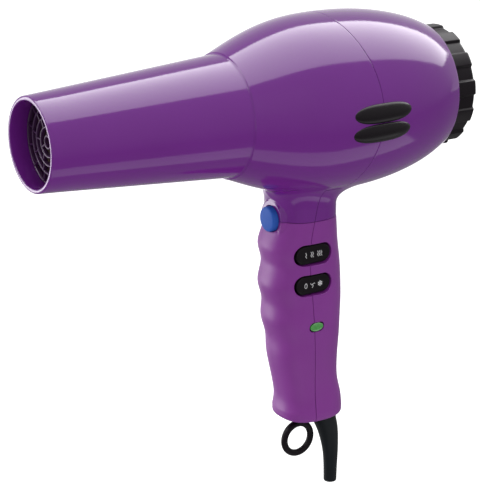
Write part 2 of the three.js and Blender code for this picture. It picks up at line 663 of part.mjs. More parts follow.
function handleBottom() {
  const eye = new THREE.TorusGeometry(LOOP_RADIUS, LOOP_WIRE, 7, 16).rotateX(Math.PI / 2);
  eye.translate(LOOP_X, 0, LOOP_CENTRE_Z);
  const inside = GRIP_BOTTOM + WALL + 0.4 + GAP;
  const neckTop = inside + LOOP_HEAD_THICKNESS;
  const pin = barZ(LOOP_CENTRE_Z + LOOP_RADIUS, neckTop, LOOP_PIN_RADIUS, LOOP_X, 0, 10);
  const head = barZ(inside, neckTop, LOOP_HEAD_RADIUS, LOOP_X, 0, 12);
  const under = GRIP_BOTTOM - GAP;
  const shoulder = barZ(under - LOOP_SHOULDER_HEIGHT, under, LOOP_SHOULDER_RADIUS, LOOP_X, 0, 12);
  piece('hang_loop', BLACK, joined(solid(eye), pin, head, shoulder));

  const [topX] = BOOT_LINE[0];
  const sleeve = loft(BOOT_LINE.length, 14, (level, angle, reach) => {
    const [x, z, radius] = BOOT_LINE[BOOT_LINE.length - 1 - level];
    return new THREE.Vector3(
      x + reach * radius * Math.cos(angle), reach * radius * Math.sin(angle), z);
  });
  const top = inside + BOOT_FLANGE_THICKNESS;
  const neck = barZ(BOOT_LINE[0][1] - 2, top, BOOT_NECK_RADIUS, topX, 0, 14);
  const flange = barZ(inside, top, BOOT_FLANGE_RADIUS, topX, 0, 14);
  const [endX, endZ] = BOOT_LINE.at(-1);
  const bore = barZ(endZ - 1, endZ + BOOT_BORE_DEPTH, BOOT_BORE, endX, 0, 10);
  piece('strain_relief_boot', SOFT_BLACK, joined(sleeve, neck, flange).subtract(bore));

  const barHeight = CLAMP_HEIGHT + GAP + CLAMP_BAR[2] / 2;
  const holes = CLAMP_SCREWS.map((y) => (
    barZ(CLAMP_HEIGHT - 1, CLAMP_HEIGHT + 8, CLAMP_SCREW_SHANK + GAP, CLAMP_X, y, 12)));
  piece('cord_clamp', CREAM, box(CLAMP_BAR, [CLAMP_X, 0, barHeight]).subtract(joined(...holes)));
  const barTop = CLAMP_HEIGHT + GAP + CLAMP_BAR[2] + GAP;
  CLAMP_SCREWS.forEach((y, i) => {
    const shank = barZ(CLAMP_HEIGHT - 6, barTop + 1, CLAMP_SCREW_SHANK, CLAMP_X, y, 12);
    const head = barZ(barTop, barTop + 1.6, CLAMP_SCREW_HEAD, CLAMP_X, y, 12);
    piece(`clamp_screw_${i + 1}`, STEEL, shank.add(head));
  });

  const shank = barX(-9, SCREW_SEAT_X + 1, SCREW_SHANK, 14, 0, SCREW_HEIGHT);
  const screwHead = barX(SCREW_SEAT_X + GAP, SCREW_SEAT_X + 2.6, SCREW_HEAD, 16, 0, SCREW_HEIGHT);
  piece('handle_screw', STEEL, shank.add(screwHead));
}

// ---------- filter cap at the back ----------
function filterCap() {
  const front = BODY_BACK_X - MOUTH_DEPTH + GAP + 0.4;
  const insertFront = BODY_BACK_X;
  const outer = MOUTH_RADIUS - RUNNING_GAP / 2;
  const round = 1.4;
  let cap = turned([
    [front, CAP_LIP_RADIUS], [insertFront, CAP_LIP_RADIUS], [insertFront, CAP_BORE_RADIUS],
    [CAP_BACK_X, CAP_BORE_RADIUS], [CAP_BACK_X, outer - round], [CAP_BACK_X - 0.4, outer - 0.4],
    [CAP_BACK_X - round, outer], [front, outer], [front, CAP_LIP_RADIUS],
  ], 36);
  const toothFront = BODY_BACK_X + 1.2;
  const cutterLength = 30;
  const cutter = new THREE.CylinderGeometry(TOOTH_GAP_RADIUS, TOOTH_GAP_RADIUS, cutterLength, 16);
  cutter.rotateZ(Math.PI / 2);
  cutter.translate(toothFront + cutterLength / 2, 0, outer + TOOTH_GAP_RADIUS - TOOTH_HEIGHT);
  for (let i = 0; i < CAP_TEETH; i += 1) {
    const turn = (2 * Math.PI * (i + 0.5)) / CAP_TEETH;
    cap = cap.subtract(solid(cutter.clone().rotateX(turn).translate(0, 0, AXIS_HEIGHT)));
  }
  piece('filter_cap_ring', BLACK, cap);

  const back = CAP_BACK_X - 2;
  const grilleFront = back - REAR_GRILLE_THICKNESS;
  const rimOuter = CAP_BORE_RADIUS - GAP;
  const rim = ring(insertFront + GAP, back, rimOuter - 1.5, rimOuter, 30);
  const rings = REAR_GRILLE_RINGS.map((r) => ring(grilleFront, back, r - 0.9, r + 0.9, 16));
  const spokes = [];
  for (let i = 0; i < REAR_GRILLE_SPOKES; i += 1) {
    const length = rimOuter - 1 - REAR_GRILLE_RINGS[0];
    const bar = new THREE.BoxGeometry(REAR_GRILLE_THICKNESS, 1.8, length);
    bar.translate(0, 0, REAR_GRILLE_RINGS[0] + length / 2).rotateX((2 * Math.PI * i) / REAR_GRILLE_SPOKES);
    spokes.push(solid(bar.translate((grilleFront + back) / 2, 0, AXIS_HEIGHT)));
  }
  piece('rear_grille', BLACK, joined(rim, ...rings, ...spokes));
  const screenBack = grilleFront - GAP;
  piece('filter_screen', MESH_GREY, barX(screenBack - SCREEN_THICKNESS, screenBack, rimOuter - 1.5 - GAP, 36));
}

// ---------- fan, motor and duct ----------
function ductAndMotor() {
  const ductInner = DUCT_RADIUS - DUCT_WALL;
  const hubInner = HUB_RADIUS - HUB_WALL;
  const vanes = [];
  for (let i = 0; i < VANES; i += 1) {
    const length = ductInner - HUB_RADIUS + 1.4;
    const vane = new THREE.BoxGeometry(24, VANE_THICKNESS, length);
    vane.translate(0, 0, HUB_RADIUS - 0.7 + length / 2).rotateX((2 * Math.PI * i) / VANES);
    vanes.push(solid(vane.translate(14, 0, AXIS_HEIGHT)));
  }
  piece('stator_duct', DARK_PURPLE, joined(
    ring(DUCT_FRONT_X, DUCT_BACK_X, ductInner, DUCT_RADIUS, 30),
    ring(HUB_FRONT_X, HUB_BACK_X, hubInner, HUB_RADIUS, 20), ...vanes));
  for (const [name, x] of Object.entries(ISOLATOR_PLACES)) {
    const blank = ring(x, x + ISOLATOR_LENGTH, DUCT_RADIUS + GAP, BODY_OUTLINE[3][1], HOLLOW_SIDES);
    piece(`isolator_${name}`, SOFT_BLACK, blank.intersect(bodyHollow(GAP)));
  }

  const canRadius = hubInner - GAP;
  const canInner = canRadius - MOTOR_WALL;
  const bearingRoom = BEARING_RADIUS + GAP;
  piece('motor_can', STEEL, turned([
    [MOTOR_FRONT_X, canInner], [MOTOR_BACK_X - 3, canInner], [MOTOR_BACK_X - 3, bearingRoom],
    [MOTOR_BACK_X, bearingRoom], [MOTOR_BACK_X, canRadius], [MOTOR_FRONT_X, canRadius],
    [MOTOR_FRONT_X, canInner],
  ], 20));
  const bellBack = MOTOR_FRONT_X - GAP;
  piece('motor_end_bell', BLACK, turned([
    [bellBack - 3, bearingRoom], [bellBack - 3, canRadius], [bellBack, canRadius],
    [bellBack, canInner - GAP], [bellBack + 1.6, canInner - GAP], [bellBack + 1.6, canInner - 2],
    [bellBack, canInner - 2], [bellBack, bearingRoom], [bellBack - 3, bearingRoom],
  ], 20));
  const bore = SHAFT_RADIUS + GAP;
  piece('bearing_front', COPPER, ring(bellBack - 3, bellBack, bore, BEARING_RADIUS, 20));
  piece('bearing_rear', COPPER, ring(MOTOR_BACK_X - 3, MOTOR_BACK_X, bore, BEARING_RADIUS, 20));

  const shaftBack = FAN_BACK_X - 1;
  piece('motor_shaft', STEEL, barX(SHAFT_FRONT_X, shaftBack, SHAFT_RADIUS, 16));
  piece('commutator', COPPER, ring(-3.4, 3, bore, COMMUTATOR_RADIUS, 20));
  const slots = [];
  for (let i = 0; i < 5; i += 1) {
    const slot = new THREE.BoxGeometry(19, 2, 4).translate(0, 0, ARMATURE_RADIUS);
    slot.rotateX((2 * Math.PI * i) / 5);
    slots.push(solid(slot.translate(13.6, 0, AXIS_HEIGHT)));
  }
  piece('armature', COPPER, ring(5, 22, bore, ARMATURE_RADIUS, 20).subtract(joined(...slots)));
  const magnetOuter = canInner - GAP;
  for (const [name, side] of [['left', -1], ['right', 1]]) {
    const arc = ring(4, 24, magnetOuter - MAGNET_THICKNESS, magnetOuter, 20);
    const keep = box([40, 14, 19], [14, side * 9, AXIS_HEIGHT]);
    piece(`magnet_${name}`, SOFT_BLACK, arc.intersect(keep));
  }
  for (const [name, side] of [['upper', 1], ['lower', -1]]) {
    const inner = COMMUTATOR_RADIUS + GAP;
    const length = canInner - 2 - GAP - inner;
    piece(`brush_${name}`, SOFT_BLACK, box(
      [2.8, 3, length], [-1.6, 0, AXIS_HEIGHT + side * (inner + length / 2)]));
  }
}

function fan() {
  const tip = DUCT_RADIUS - DUCT_WALL - RUNNING_GAP;
  const length = tip - FAN_HUB_RADIUS + 2;
  const chord = (FAN_BACK_X - FAN_FRONT_X - 1) / Math.sin(FAN_PITCH);
  const blades = [];
  for (let i = 0; i < FAN_BLADES; i += 1) {
    const blade = new THREE.BoxGeometry(chord - 2, FAN_BLADE_THICKNESS, length);
    blade.translate(0, 0, FAN_HUB_RADIUS - 1 + length / 2).rotateZ(Math.PI / 2 - FAN_PITCH);
    blade.rotateX((2 * Math.PI * i) / FAN_BLADES);
    blades.push(solid(blade.translate((FAN_FRONT_X + FAN_BACK_X) / 2, 0, AXIS_HEIGHT)));
  }
  const wall = 1.6;
  const boss = 3.6;
  const hub = turned([
    [FAN_FRONT_X, SHAFT_RADIUS + GAP], [FAN_FRONT_X, boss], [FAN_BACK_X - wall, boss],
    [FAN_BACK_X - wall, FAN_HUB_RADIUS - wall], [FAN_FRONT_X, FAN_HUB_RADIUS - wall],
    [FAN_FRONT_X, FAN_HUB_RADIUS], [FAN_BACK_X - 3, FAN_HUB_RADIUS], [FAN_BACK_X, FAN_HUB_RADIUS - 3],
    [FAN_BACK_X, 0], [FAN_BACK_X - wall / 2, 0], [FAN_BACK_X - wall / 2, SHAFT_RADIUS + GAP],
    [FAN_FRONT_X, SHAFT_RADIUS + GAP],
  ], 16);
  const reach = ring(FAN_FRONT_X, FAN_BACK_X, FAN_HUB_RADIUS - 1, tip, 24);
  piece('fan_impeller', BLACK, hub.add(joined(...blades).intersect(reach)));
}

// ---------- heater ----------
function heater() {
  const tubeRadius = barrelBore(HEATER_FRONT_X) - GAP;
  const tubeInner = tubeRadius - MICA_TUBE_WALL;
  piece('mica_tube', MICA, ring(HEATER_FRONT_X, HEATER_BACK_X, tubeInner, tubeRadius, 24));
  const front = HEATER_FRONT_X + 1;
  const back = HEATER_BACK_X - 1;
  const length = back - front;
  const middle = (front + back) / 2;
  const endTab = 3;
  const slot = BOARD_THICKNESS + 2 * GAP;
  const half = COIL_FRAME_RADIUS;
  const full = Math.sqrt((tubeInner - GAP) ** 2 - (BOARD_THICKNESS / 2) ** 2) - 0.2;
  const flat = (size, x) => [
    box([size, BOARD_THICKNESS, 2 * full], [x, 0, AXIS_HEIGHT]),
    box([size, 2 * full, BOARD_THICKNESS], [x, 0, AXIS_HEIGHT])];
  const tabs = [front + endTab / 2, middle, back - endTab / 2].map((x) => flat(endTab, x));
  const upright = joined(
    box([length, BOARD_THICKNESS, 2 * half], [middle, 0, AXIS_HEIGHT]), ...tabs.map((t) => t[0]));
  const level = joined(
    box([length, 2 * half, BOARD_THICKNESS], [middle, 0, AXIS_HEIGHT]), ...tabs.map((t) => t[1]));
  const slotShift = length / 4 - 0.5 + GAP / 2;
  const frontHalf = box([length / 2 + 1, slot, slot], [front + slotShift, 0, AXIS_HEIGHT]);
  const backHalf = box([length / 2 + 1, slot, slot], [back - slotShift, 0, AXIS_HEIGHT]);
  piece('mica_board_upright', MICA, upright.subtract(frontHalf));
  piece('mica_board_level', MICA, level.subtract(backHalf));
  for (const [name, [start, end]] of Object.entries(COIL_PLACES)) {
    const path = helixX(start, end, half + GAP + COIL_WIRE + 0.3, COIL_TURNS);
    piece(`heating_coil_${name}`, NICHROME, wire(path, COIL_WIRE, 12 * COIL_TURNS, 4));
  }
  const seat = BOARD_THICKNESS / 2 + GAP;
  const can = new THREE.CylinderGeometry(5, 5, 4, 20).rotateX(Math.PI / 2);
  piece('thermostat', STEEL, solid(can.translate(-84, 7, AXIS_HEIGHT + seat + 2)));
  piece('thermal_fuse', STEEL, barX(-92, -80, 1.8, 14, -6, AXIS_HEIGHT + seat + 1.8));
}

// ---------- internal wiring ----------
function wiring() {
  const boardTop = BOARD_PLACE[2] + BOARD_SIZE[2] / 2 + 2 * GAP;
  const routes = {
    motor_wire: [[8.5, 4, boardTop], [6, 6, 56], [-3, 8, 61], [-12, 8, 67], [-16, 7.5, 71.2],
      [-22.5, 7.2, 72.4], [-26.5, 7.5, 80], [-22, 8, 95], [-14, 8, 101], [-8.6, 8, 102]],
    heater_wire_high: [[5, 4, boardTop], [3, 3, 56], [-4, 2, 60], [-12, 2, 64], [-14, 2, 69],
      [-19, 1, 71.1], [-25, 0.5, 74.6], [-34, 0, 81.5], [-42, 0, 86.5], [-52, 0, 91], [-62.1, 0, 98]],
    heater_wire_low: [[1.5, 4, boardTop], [0.5, 0, 57], [-4, -3, 60], [-12, -4, 64], [-14, -5, 68.8],
      [-19, -5.5, 71.2], [-25, -6, 75.6], [-34, -7, 83], [-42, -8, 88], [-52, -11, 98], [-62.1, -11, 108]],
  };
  for (const [name, points] of Object.entries(routes)) {
    const path = new THREE.CatmullRomCurve3(points.map((p) => new THREE.Vector3(...p)));
    piece(name, name === 'motor_wire' ? SOFT_BLACK : CREAM, wire(path, 1, 12, 6));
  }
}

bodyShells();
barrel();
outletGrille();
sidePads();
handleShells();
rockers();
indicator();
coolShot();
controlBoard();
handleBottom();
filterCap();
ductAndMotor();
fan();
heater();
wiring();

export default group;
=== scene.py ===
"""Looks of a corded pistol-grip hair dryer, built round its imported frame.

Shapes are worked out in millimetres and put into meshes in metres. The nozzle points
along -X, the switches face -Y and +Z is up, as in the frame.
"""

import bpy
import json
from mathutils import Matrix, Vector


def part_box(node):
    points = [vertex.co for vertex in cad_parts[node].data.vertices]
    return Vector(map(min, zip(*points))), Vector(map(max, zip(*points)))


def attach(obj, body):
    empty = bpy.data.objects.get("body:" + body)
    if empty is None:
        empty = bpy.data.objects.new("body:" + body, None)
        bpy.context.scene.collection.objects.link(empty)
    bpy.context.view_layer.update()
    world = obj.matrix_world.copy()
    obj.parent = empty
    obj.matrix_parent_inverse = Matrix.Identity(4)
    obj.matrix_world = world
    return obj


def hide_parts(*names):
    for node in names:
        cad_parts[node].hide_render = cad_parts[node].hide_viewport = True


bl_info = {
    "name": "Hair dryer looks",
    "version": (1, 0, 0),
    "blender": (4, 5, 0),
    "location": "View3D > Sidebar > Hair dryer",
    "description": "Fine surfaces, finishes and a studio for a pistol-grip hair dryer",
    "category": "Object",
}

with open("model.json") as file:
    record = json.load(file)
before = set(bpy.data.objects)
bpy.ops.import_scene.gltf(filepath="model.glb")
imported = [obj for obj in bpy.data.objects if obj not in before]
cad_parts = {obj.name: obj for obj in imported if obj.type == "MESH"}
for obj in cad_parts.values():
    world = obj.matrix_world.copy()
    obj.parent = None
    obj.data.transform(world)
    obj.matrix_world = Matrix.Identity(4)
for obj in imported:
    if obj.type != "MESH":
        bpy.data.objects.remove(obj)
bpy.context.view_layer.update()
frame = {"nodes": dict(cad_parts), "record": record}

import json
import math

import bmesh
import bpy
import numpy as np
from mathutils import Matrix

MM = 0.001  # metres in a millimetre


def box_mm(node):
    """Lowest and highest corner of a CAD node, in millimetres."""
    low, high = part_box(node)
    return np.array(low) / MM, np.array(high) / MM


# ---------- places that come from the frame ----------
CAP_LOW, CAP_HIGH = box_mm("filter_cap_ring")
BUTTON_LOW, BUTTON_HIGH = box_mm("cool_shot_button")
LENS_LOW, LENS_HIGH = box_mm("indicator_lens")
OUTLET_X = box_mm("front_barrel")[0][0]
BOOT_TOP_Z = box_mm("strain_relief_boot")[1][2]
LOOP_TOP_Z = box_mm("hang_loop")[1][2]
AXIS_Z = (CAP_LOW[2] + CAP_HIGH[2]) / 2
CAP_BACK_X = CAP_HIGH[0]

# ---------- outlines shared with the frame, in millimetres ----------
WALL = 2.2
OUTLET_RADIUS = 22.6
BARREL_BACK_RADIUS = 30.4
SPIGOT_LENGTH = 10
BODY_FRONT_X = -48.7
BODY_FRONT_RADIUS = 31.2
BODY_WIDEST_RADIUS = 45.5
BODY_OUTLINE = [
    (BODY_FRONT_X, BODY_FRONT_RADIUS), (-28.2, 39.2), (-7.8, 44.2), (12.7, BODY_WIDEST_RADIUS),
    (33.2, 44.6), (53.6, 41.2), (66, 37.4), (73, 34.4),
]
BARREL_SLOPE = (BARREL_BACK_RADIUS - OUTLET_RADIUS) / (BODY_FRONT_X - OUTLET_X)
NOSE_LENGTH = 1.0
REAR_EDGE_X = 72.4
REAR_EDGE_RADIUS = 33.75
BODY_BACK_X = 74.1
MOUTH_RADIUS = 32.1
MOUTH_DEPTH = 8.4
RING_SEAM_X = 16.4
RING_SEAM_BOW = 8
SHELF_Z = 68
NECK_SEAM = [(68, -0.7), (53, -3.4), (42, -5.6), (10, -4.6), (-53, -0.3)]  # height, x
NECK_Z = 51
GRIP_FRONT = [
    (51, -18.3), (45, -19.4), (37, -22.4), (27, -20.4), (16.5, -22.5), (6, -20),
    (-3, -20.4), (-13, -17.6), (-21.5, -17), (-32, -15.2), (-44, -12.6), (-50, -12), (-55, -12.8),
]  # height, x
GRIP_BACK = [
    (51, 16.6), (44, 17.3), (30, 19), (16, 20.4), (4, 20.5), (-10, 20),
    (-32, 19.1), (-40, 19.8), (-48, 21.8), (-55, 22.6),
]  # height, x
GRIP_HALF_WIDTH = [(51, 17.3), (16, 17.6), (-20, 17), (-44, 15.8), (-55, 16.4)]
GRIP_BOTTOM = -60
BOTTOM_ROUNDING = 2.5
GRIP_SQUARENESS = 2.5
MEAN_HALF_SECTION = (19, 17.3)  # half length and half width
FOOT_CENTRE_X = 3
FOOT_HALF_LENGTH = 26.5
FOOT_HALF_WIDTH = 24.5
BEND_Z = 57.5
BEND_SHARE = 0.3
THIN_LIP = 1.2
BUTTON_RADIUS = 6.5
BUTTON_FLANGE_RADIUS = 7.8
BUTTON_FLANGE_DEPTH = 1.2
BUTTON_HOLE_RADIUS = 6.75
BUTTON_HOLE_ROUNDING = 0.35
BUTTON_HOLE_DEPTH = 4
COLLAR_RADIUS = 8.8
COLLAR_BLEND_RADIUS = 10.6
COLLAR_FACE_X = -18.75
ROCKER_PLACES = {"heat": (-3.6, 33.7), "speed": (-3.4, 17.5)}
ROCKER_FACE_Y = -16.6
ROCKER_SIZE = (20.4, 9.6)  # length, height
ROCKER_DEPTH = 3.6
ROCKER_EDGE = 0.7
ROCKER_HOLLOW = 0.5
ROCKER_HOLE = (22.0, 11.2)  # length, height
ROCKER_HOLE_DEPTH = 5
LENS_HALF_SIZE = (4, 2.25)  # half length, half height
LENS_HOLE = (8.9, 5.2)  # length, height
LENS_HOLE_ROUNDING = 0.25
LENS_HOLE_DEPTH = 2
HOLE_WALL = -8  # a hole opens only the wall that lies beyond this, in x or y
OUT_OF_REACH = 50  # distance given to points that a hole leaves alone
BOOT_LINE = [
    (-60.3, 14.2, 7.3), (-66, 16.2, 6.7), (-72, 18.4, 5.9), (-79, 20, 5),
    (-87, 21, 4.2), (-96, 21.2, 3.7), (-104.6, 21.2, 3.5),
]  # height, x, radius
BOOT_NECK_RADIUS = 5
CORD_BORE_RADIUS = 2.6
CORD_BORE_DEPTH = 14
LOOP_X = -0.9
LOOP_Z = -74.2
LOOP_RADIUS = 8.4
LOOP_WIRE_RADIUS = 1.8
LOOP_STEM = [
    (-66.2, 0), (-66.2, 2.0), (-64.6, 2.1), (-63.8, 2.25), (-63.2, 2.7), (-60.5, 2.7),
    (-60.3, 2.4), (-60.3, 1.7), (LOOP_TOP_Z, 1.7), (LOOP_TOP_Z, 0),
]  # height, radius
GRILLE_RINGS = [2.9, 7, 11.2, 15.3]
GRILLE_SPOKES = [3, 6, 9, 12]
GRILLE_SETBACK = 9
GRILLE_DEPTH = 2.6
GRILLE_OVERLAP = 0.35
REAR_GRILLE_RINGS = [5, 13, 20.5]
REAR_GRILLE_SPOKES = 6
REAR_GRILLE_RADIUS = 28.1
REAR_GRILLE_DEPTH = 2.4
REAR_GRILLE_BAR = 1.8
CAP_FRONT_X = 66.5
CAP_CLEARANCE = 0.35
CAP_BORE_RADIUS = 26.6
CAP_SEAT_RADIUS = 28.4
TOOTH_EDGE = (0.215, 0.295)  # turn from a tooth's middle, in tooth widths
PAD_ANGLES = {"upper": 2.7, "lower": -9.8}
PAD_CENTRE_X = 16.6
PAD_HALF_LENGTH = 17.6
PAD_HALF_HEIGHT = 4.95
PAD_EDGE_DEPTH = 0.35
PAD_BACK_DEPTH = 1.1
CREASE_DEGREES = 38


# ---------- user settings ----------
def length(name, description, default):
    """A size property shown in millimetres."""
    return bpy.props.FloatProperty(name=name, description=description, default=default, min=0)


def colour(name, description, default):
    """A colour property holding linear light."""
    return bpy.props.FloatVectorProperty(
        name=name, description=description, default=default, size=3, subtype="COLOR", min=0, max=1)


class DryerSizes(bpy.types.PropertyGroup):
    """Small sizes of the mouldings, in millimetres."""
    seam_gap: length("Seam gap", "Width of the line between two mouldings", 0.5)
    edge_radius: length("Edge radius", "Rounding of moulded edges", 0.14)
    hole_radius: length("Hole rounding", "Rounding round the switch openings", 0.5)
    tooth_height: length("Tooth height", "How far the cap's teeth stand up", 1.3)
    pad_bulge: length("Pad bulge", "How far the side pads stand proud", 2.3)
    grille_bar: length("Grille bar", "Width of the outlet grille's bars", 1.0)
    tooth_count: bpy.props.IntProperty(
        name="Teeth", description="Teeth round the filter cap", default=13, min=3, max=40)


class DryerColours(bpy.types.PropertyGroup):
    """Colours of the main finishes."""
    shell: colour("Shell", "Glossy plastic of body and barrel", (0.130, 0.013, 0.200))
    handle: colour("Handle", "Satin plastic of the handle", (0.185, 0.018, 0.232))
    inside: colour("Inside", "Dark plastic inside the outlet", (0.050, 0.014, 0.062))
    black: colour("Black", "Hard black plastic", (0.006, 0.004, 0.006))
    rubber: colour("Rubber", "Soft black plastic of the boot", (0.003, 0.005, 0.007))
    button: colour("Button", "Cool-shot button", (0.022, 0.085, 0.370))
    lens: colour("Lens", "Indicator lens", (0.045, 0.260, 0.045))
    printed: colour("Print", "Printed marks", (0.72, 0.72, 0.74))


class DryerStudio(bpy.types.PropertyGroup):
    """Strengths of the studio's lights."""
    key: bpy.props.FloatProperty(
        name="Key", description="Brightness of the overhead softbox", default=9.2, min=0)
    kicker: bpy.props.FloatProperty(
        name="Kicker", description="Power of the light behind the nozzle side", default=14,
        min=0, unit="POWER")
    fill: bpy.props.FloatProperty(
        name="Fill", description="Power of the front fill", default=9, min=0, unit="POWER")
    top: bpy.props.FloatProperty(
        name="Top", description="Power of the soft light overhead", default=12, min=0, unit="POWER")
    flag: bpy.props.FloatProperty(
        name="Flags", description="Brightness of the dark cards in front and below",
        default=0.35, min=0)
    low: bpy.props.FloatProperty(
        name="Low panel", description="Brightness of the panel below the front", default=1.3, min=0)
    world: bpy.props.FloatProperty(
        name="World", description="Brightness of the room", default=0.55, min=0)


# ---------- curves and grids ----------
def curve_through(pairs):
    """Natural cubic through (a, b) pairs, read as b for any a.

    The second derivatives m solve, at each inner knot with steps h before and k after,
    h m0 + 2 (h + k) m1 + k m2 = 6 (slope after - slope before); they are nought at the ends.
    """
    a, b = np.array(sorted(pairs), float).T
    step = np.diff(a)
    slope = np.diff(b) / step
    system = np.eye(len(a))
    change = np.zeros(len(a))
    for k in range(1, len(a) - 1):
        system[k, k - 1:k + 2] = step[k - 1], 2 * (step[k - 1] + step[k]), step[k]
        change[k] = 6 * (slope[k] - slope[k - 1])
    bend = np.linalg.solve(system, change)

    def read(value):
        value = np.clip(value, a[0], a[-1])
        k = np.clip(np.searchsorted(a, value) - 1, 0, len(step) - 1)
        after, before, width = value - a[k], a[k + 1] - value, step[k]
        curved = (bend[k] * before**3 + bend[k + 1] * after**3) / (6 * width)
        return (curved + (b[k] / width - bend[k] * width / 6) * before
                + (b[k + 1] / width - bend[k + 1] * width / 6) * after)
    return read


body_radius = curve_through(BODY_OUTLINE)
neck_seam = curve_through(NECK_SEAM)
grip_front = curve_through(GRIP_FRONT)
grip_back = curve_through(GRIP_BACK)
grip_half_width = curve_through(GRIP_HALF_WIDTH)


def smooth(low, high, value):
    """0 below low and 1 above high, with the cubic 3 t^2 - 2 t^3 between them."""
    t = np.clip((value - low) / (high - low), 0, 1)
    return t * t * (3 - 2 * t)


def signed_power(value, power):
    """The value's size raised to the power, with its own sign."""
    return np.sign(value) * np.abs(value) ** power


def unit(vectors):
    """Vectors divided by their lengths."""
    return vectors / np.maximum(np.linalg.norm(vectors, axis=-1, keepdims=True), 1e-12)


def stacked(*parts):
    """Arrays of x, y and z joined into an array of points."""
    return np.stack(np.broadcast_arrays(*parts), -1)


def quads(rows, columns, around=False):
    """Corner numbers of the quads of a grid; the last column joins the first if around."""
    row, column = np.meshgrid(
        np.arange(rows - 1), np.arange(columns if around else columns - 1), indexing="ij")
    after = (column + 1) % columns
    corners = [row * columns + column, row * columns + after,
               (row + 1) * columns + after, (row + 1) * columns + column]
    return np.stack(corners, -1).reshape(-1, 4)


def patch(grid, around=False):
    """A surface (points, faces) from a grid of points."""
    rows, columns = grid.shape[:2]
    return grid.reshape(-1, 3), quads(rows, columns, around)


def grid_normals(grid, centre):
    """Unit normals of a grid from its two directions' differences, facing away from centre."""
    normals = unit(np.cross(np.gradient(grid, axis=0), np.gradient(grid, axis=1)))
    facing = np.sign(np.sum(normals * (grid - centre), -1, keepdims=True))
    return normals * np.where(facing == 0, 1, facing)


def rolled(edge, normals, side, radius, depth):
    """Rows that roll an edge over: a quarter circle towards side, then straight inwards.

    Row k is edge + radius sin(t) side - radius (1 - cos t) normal for t from 0 to 90
    degrees; the last row is depth below the edge.
    """
    turns = np.linspace(0, math.pi / 2, 5)[1:, None, None]
    side = np.asarray(side, float)
    bend = edge + radius * np.sin(turns) * side - radius * (1 - np.cos(turns)) * normals
    floor = edge + radius * side - depth * normals
    return np.concatenate([bend, floor[None]])


def full_turn(count):
    """Angles all the way round, the last one short of the first."""
    return np.linspace(0, 2 * math.pi, count, endpoint=False)


def about_axis(x, radius, turn, axis_z=AXIS_Z):
    """Points (x, -r sin t, axis_z + r cos t), about a line along X at height axis_z."""
    return stacked(x, -radius * np.sin(turn), axis_z + radius * np.cos(turn))


def as_columns(outline):
    """An outline's two coordinates as columns, to be spread along a row of angles."""
    return np.asarray(outline, float).T[..., None]


def turned(outline, sides, axis_z=AXIS_Z):
    """Surface of revolution of [x, radius] points about a line along X at height axis_z."""
    return patch(about_axis(*as_columns(outline), full_turn(sides), axis_z), True)


def upright_turned(outline, sides, x):
    """Surface of [height, radius] points about an upright line at x, which may bend with height.

    A point is (x + r cos t, r sin t, height).
    """
    height, radius = as_columns(outline)
    turn = full_turn(sides)
    middle = np.reshape(x, (-1, 1))
    return patch(stacked(middle + radius * np.cos(turn), radius * np.sin(turn), height), True)


def bezier(start, corner, end, t):
    """The quadratic curve (1-t)^2 start + 2 t (1-t) corner + t^2 end."""
    return (1 - t) ** 2 * start + 2 * t * (1 - t) * corner + t**2 * end


def rounded_corner(corner, before, after, radius, steps=5):
    """Points of a profile's corner, cut off by a curve that leaves and meets its two sides.

    The curve is the quadratic whose ends are radius away from the corner, towards the
    points before and after it.
    """
    corner, before, after = (np.array(p, float) for p in (corner, before, after))
    start = corner + radius * unit(before - corner)
    end = corner + radius * unit(after - corner)
    return bezier(start, corner, end, np.linspace(0, 1, steps)[:, None])


def softened(profile, radii):
    """A profile whose inner corners are rounded by the given radii, first and last kept."""
    points = [np.array([profile[0]], float)]
    for k, radius in enumerate(radii, 1):
        if radius > 0:
            points.append(rounded_corner(profile[k], profile[k - 1], profile[k + 1], radius))
        else:
            points.append(np.array([profile[k]], float))
    points.append(np.array([profile[-1]], float))
    return np.concatenate(points)


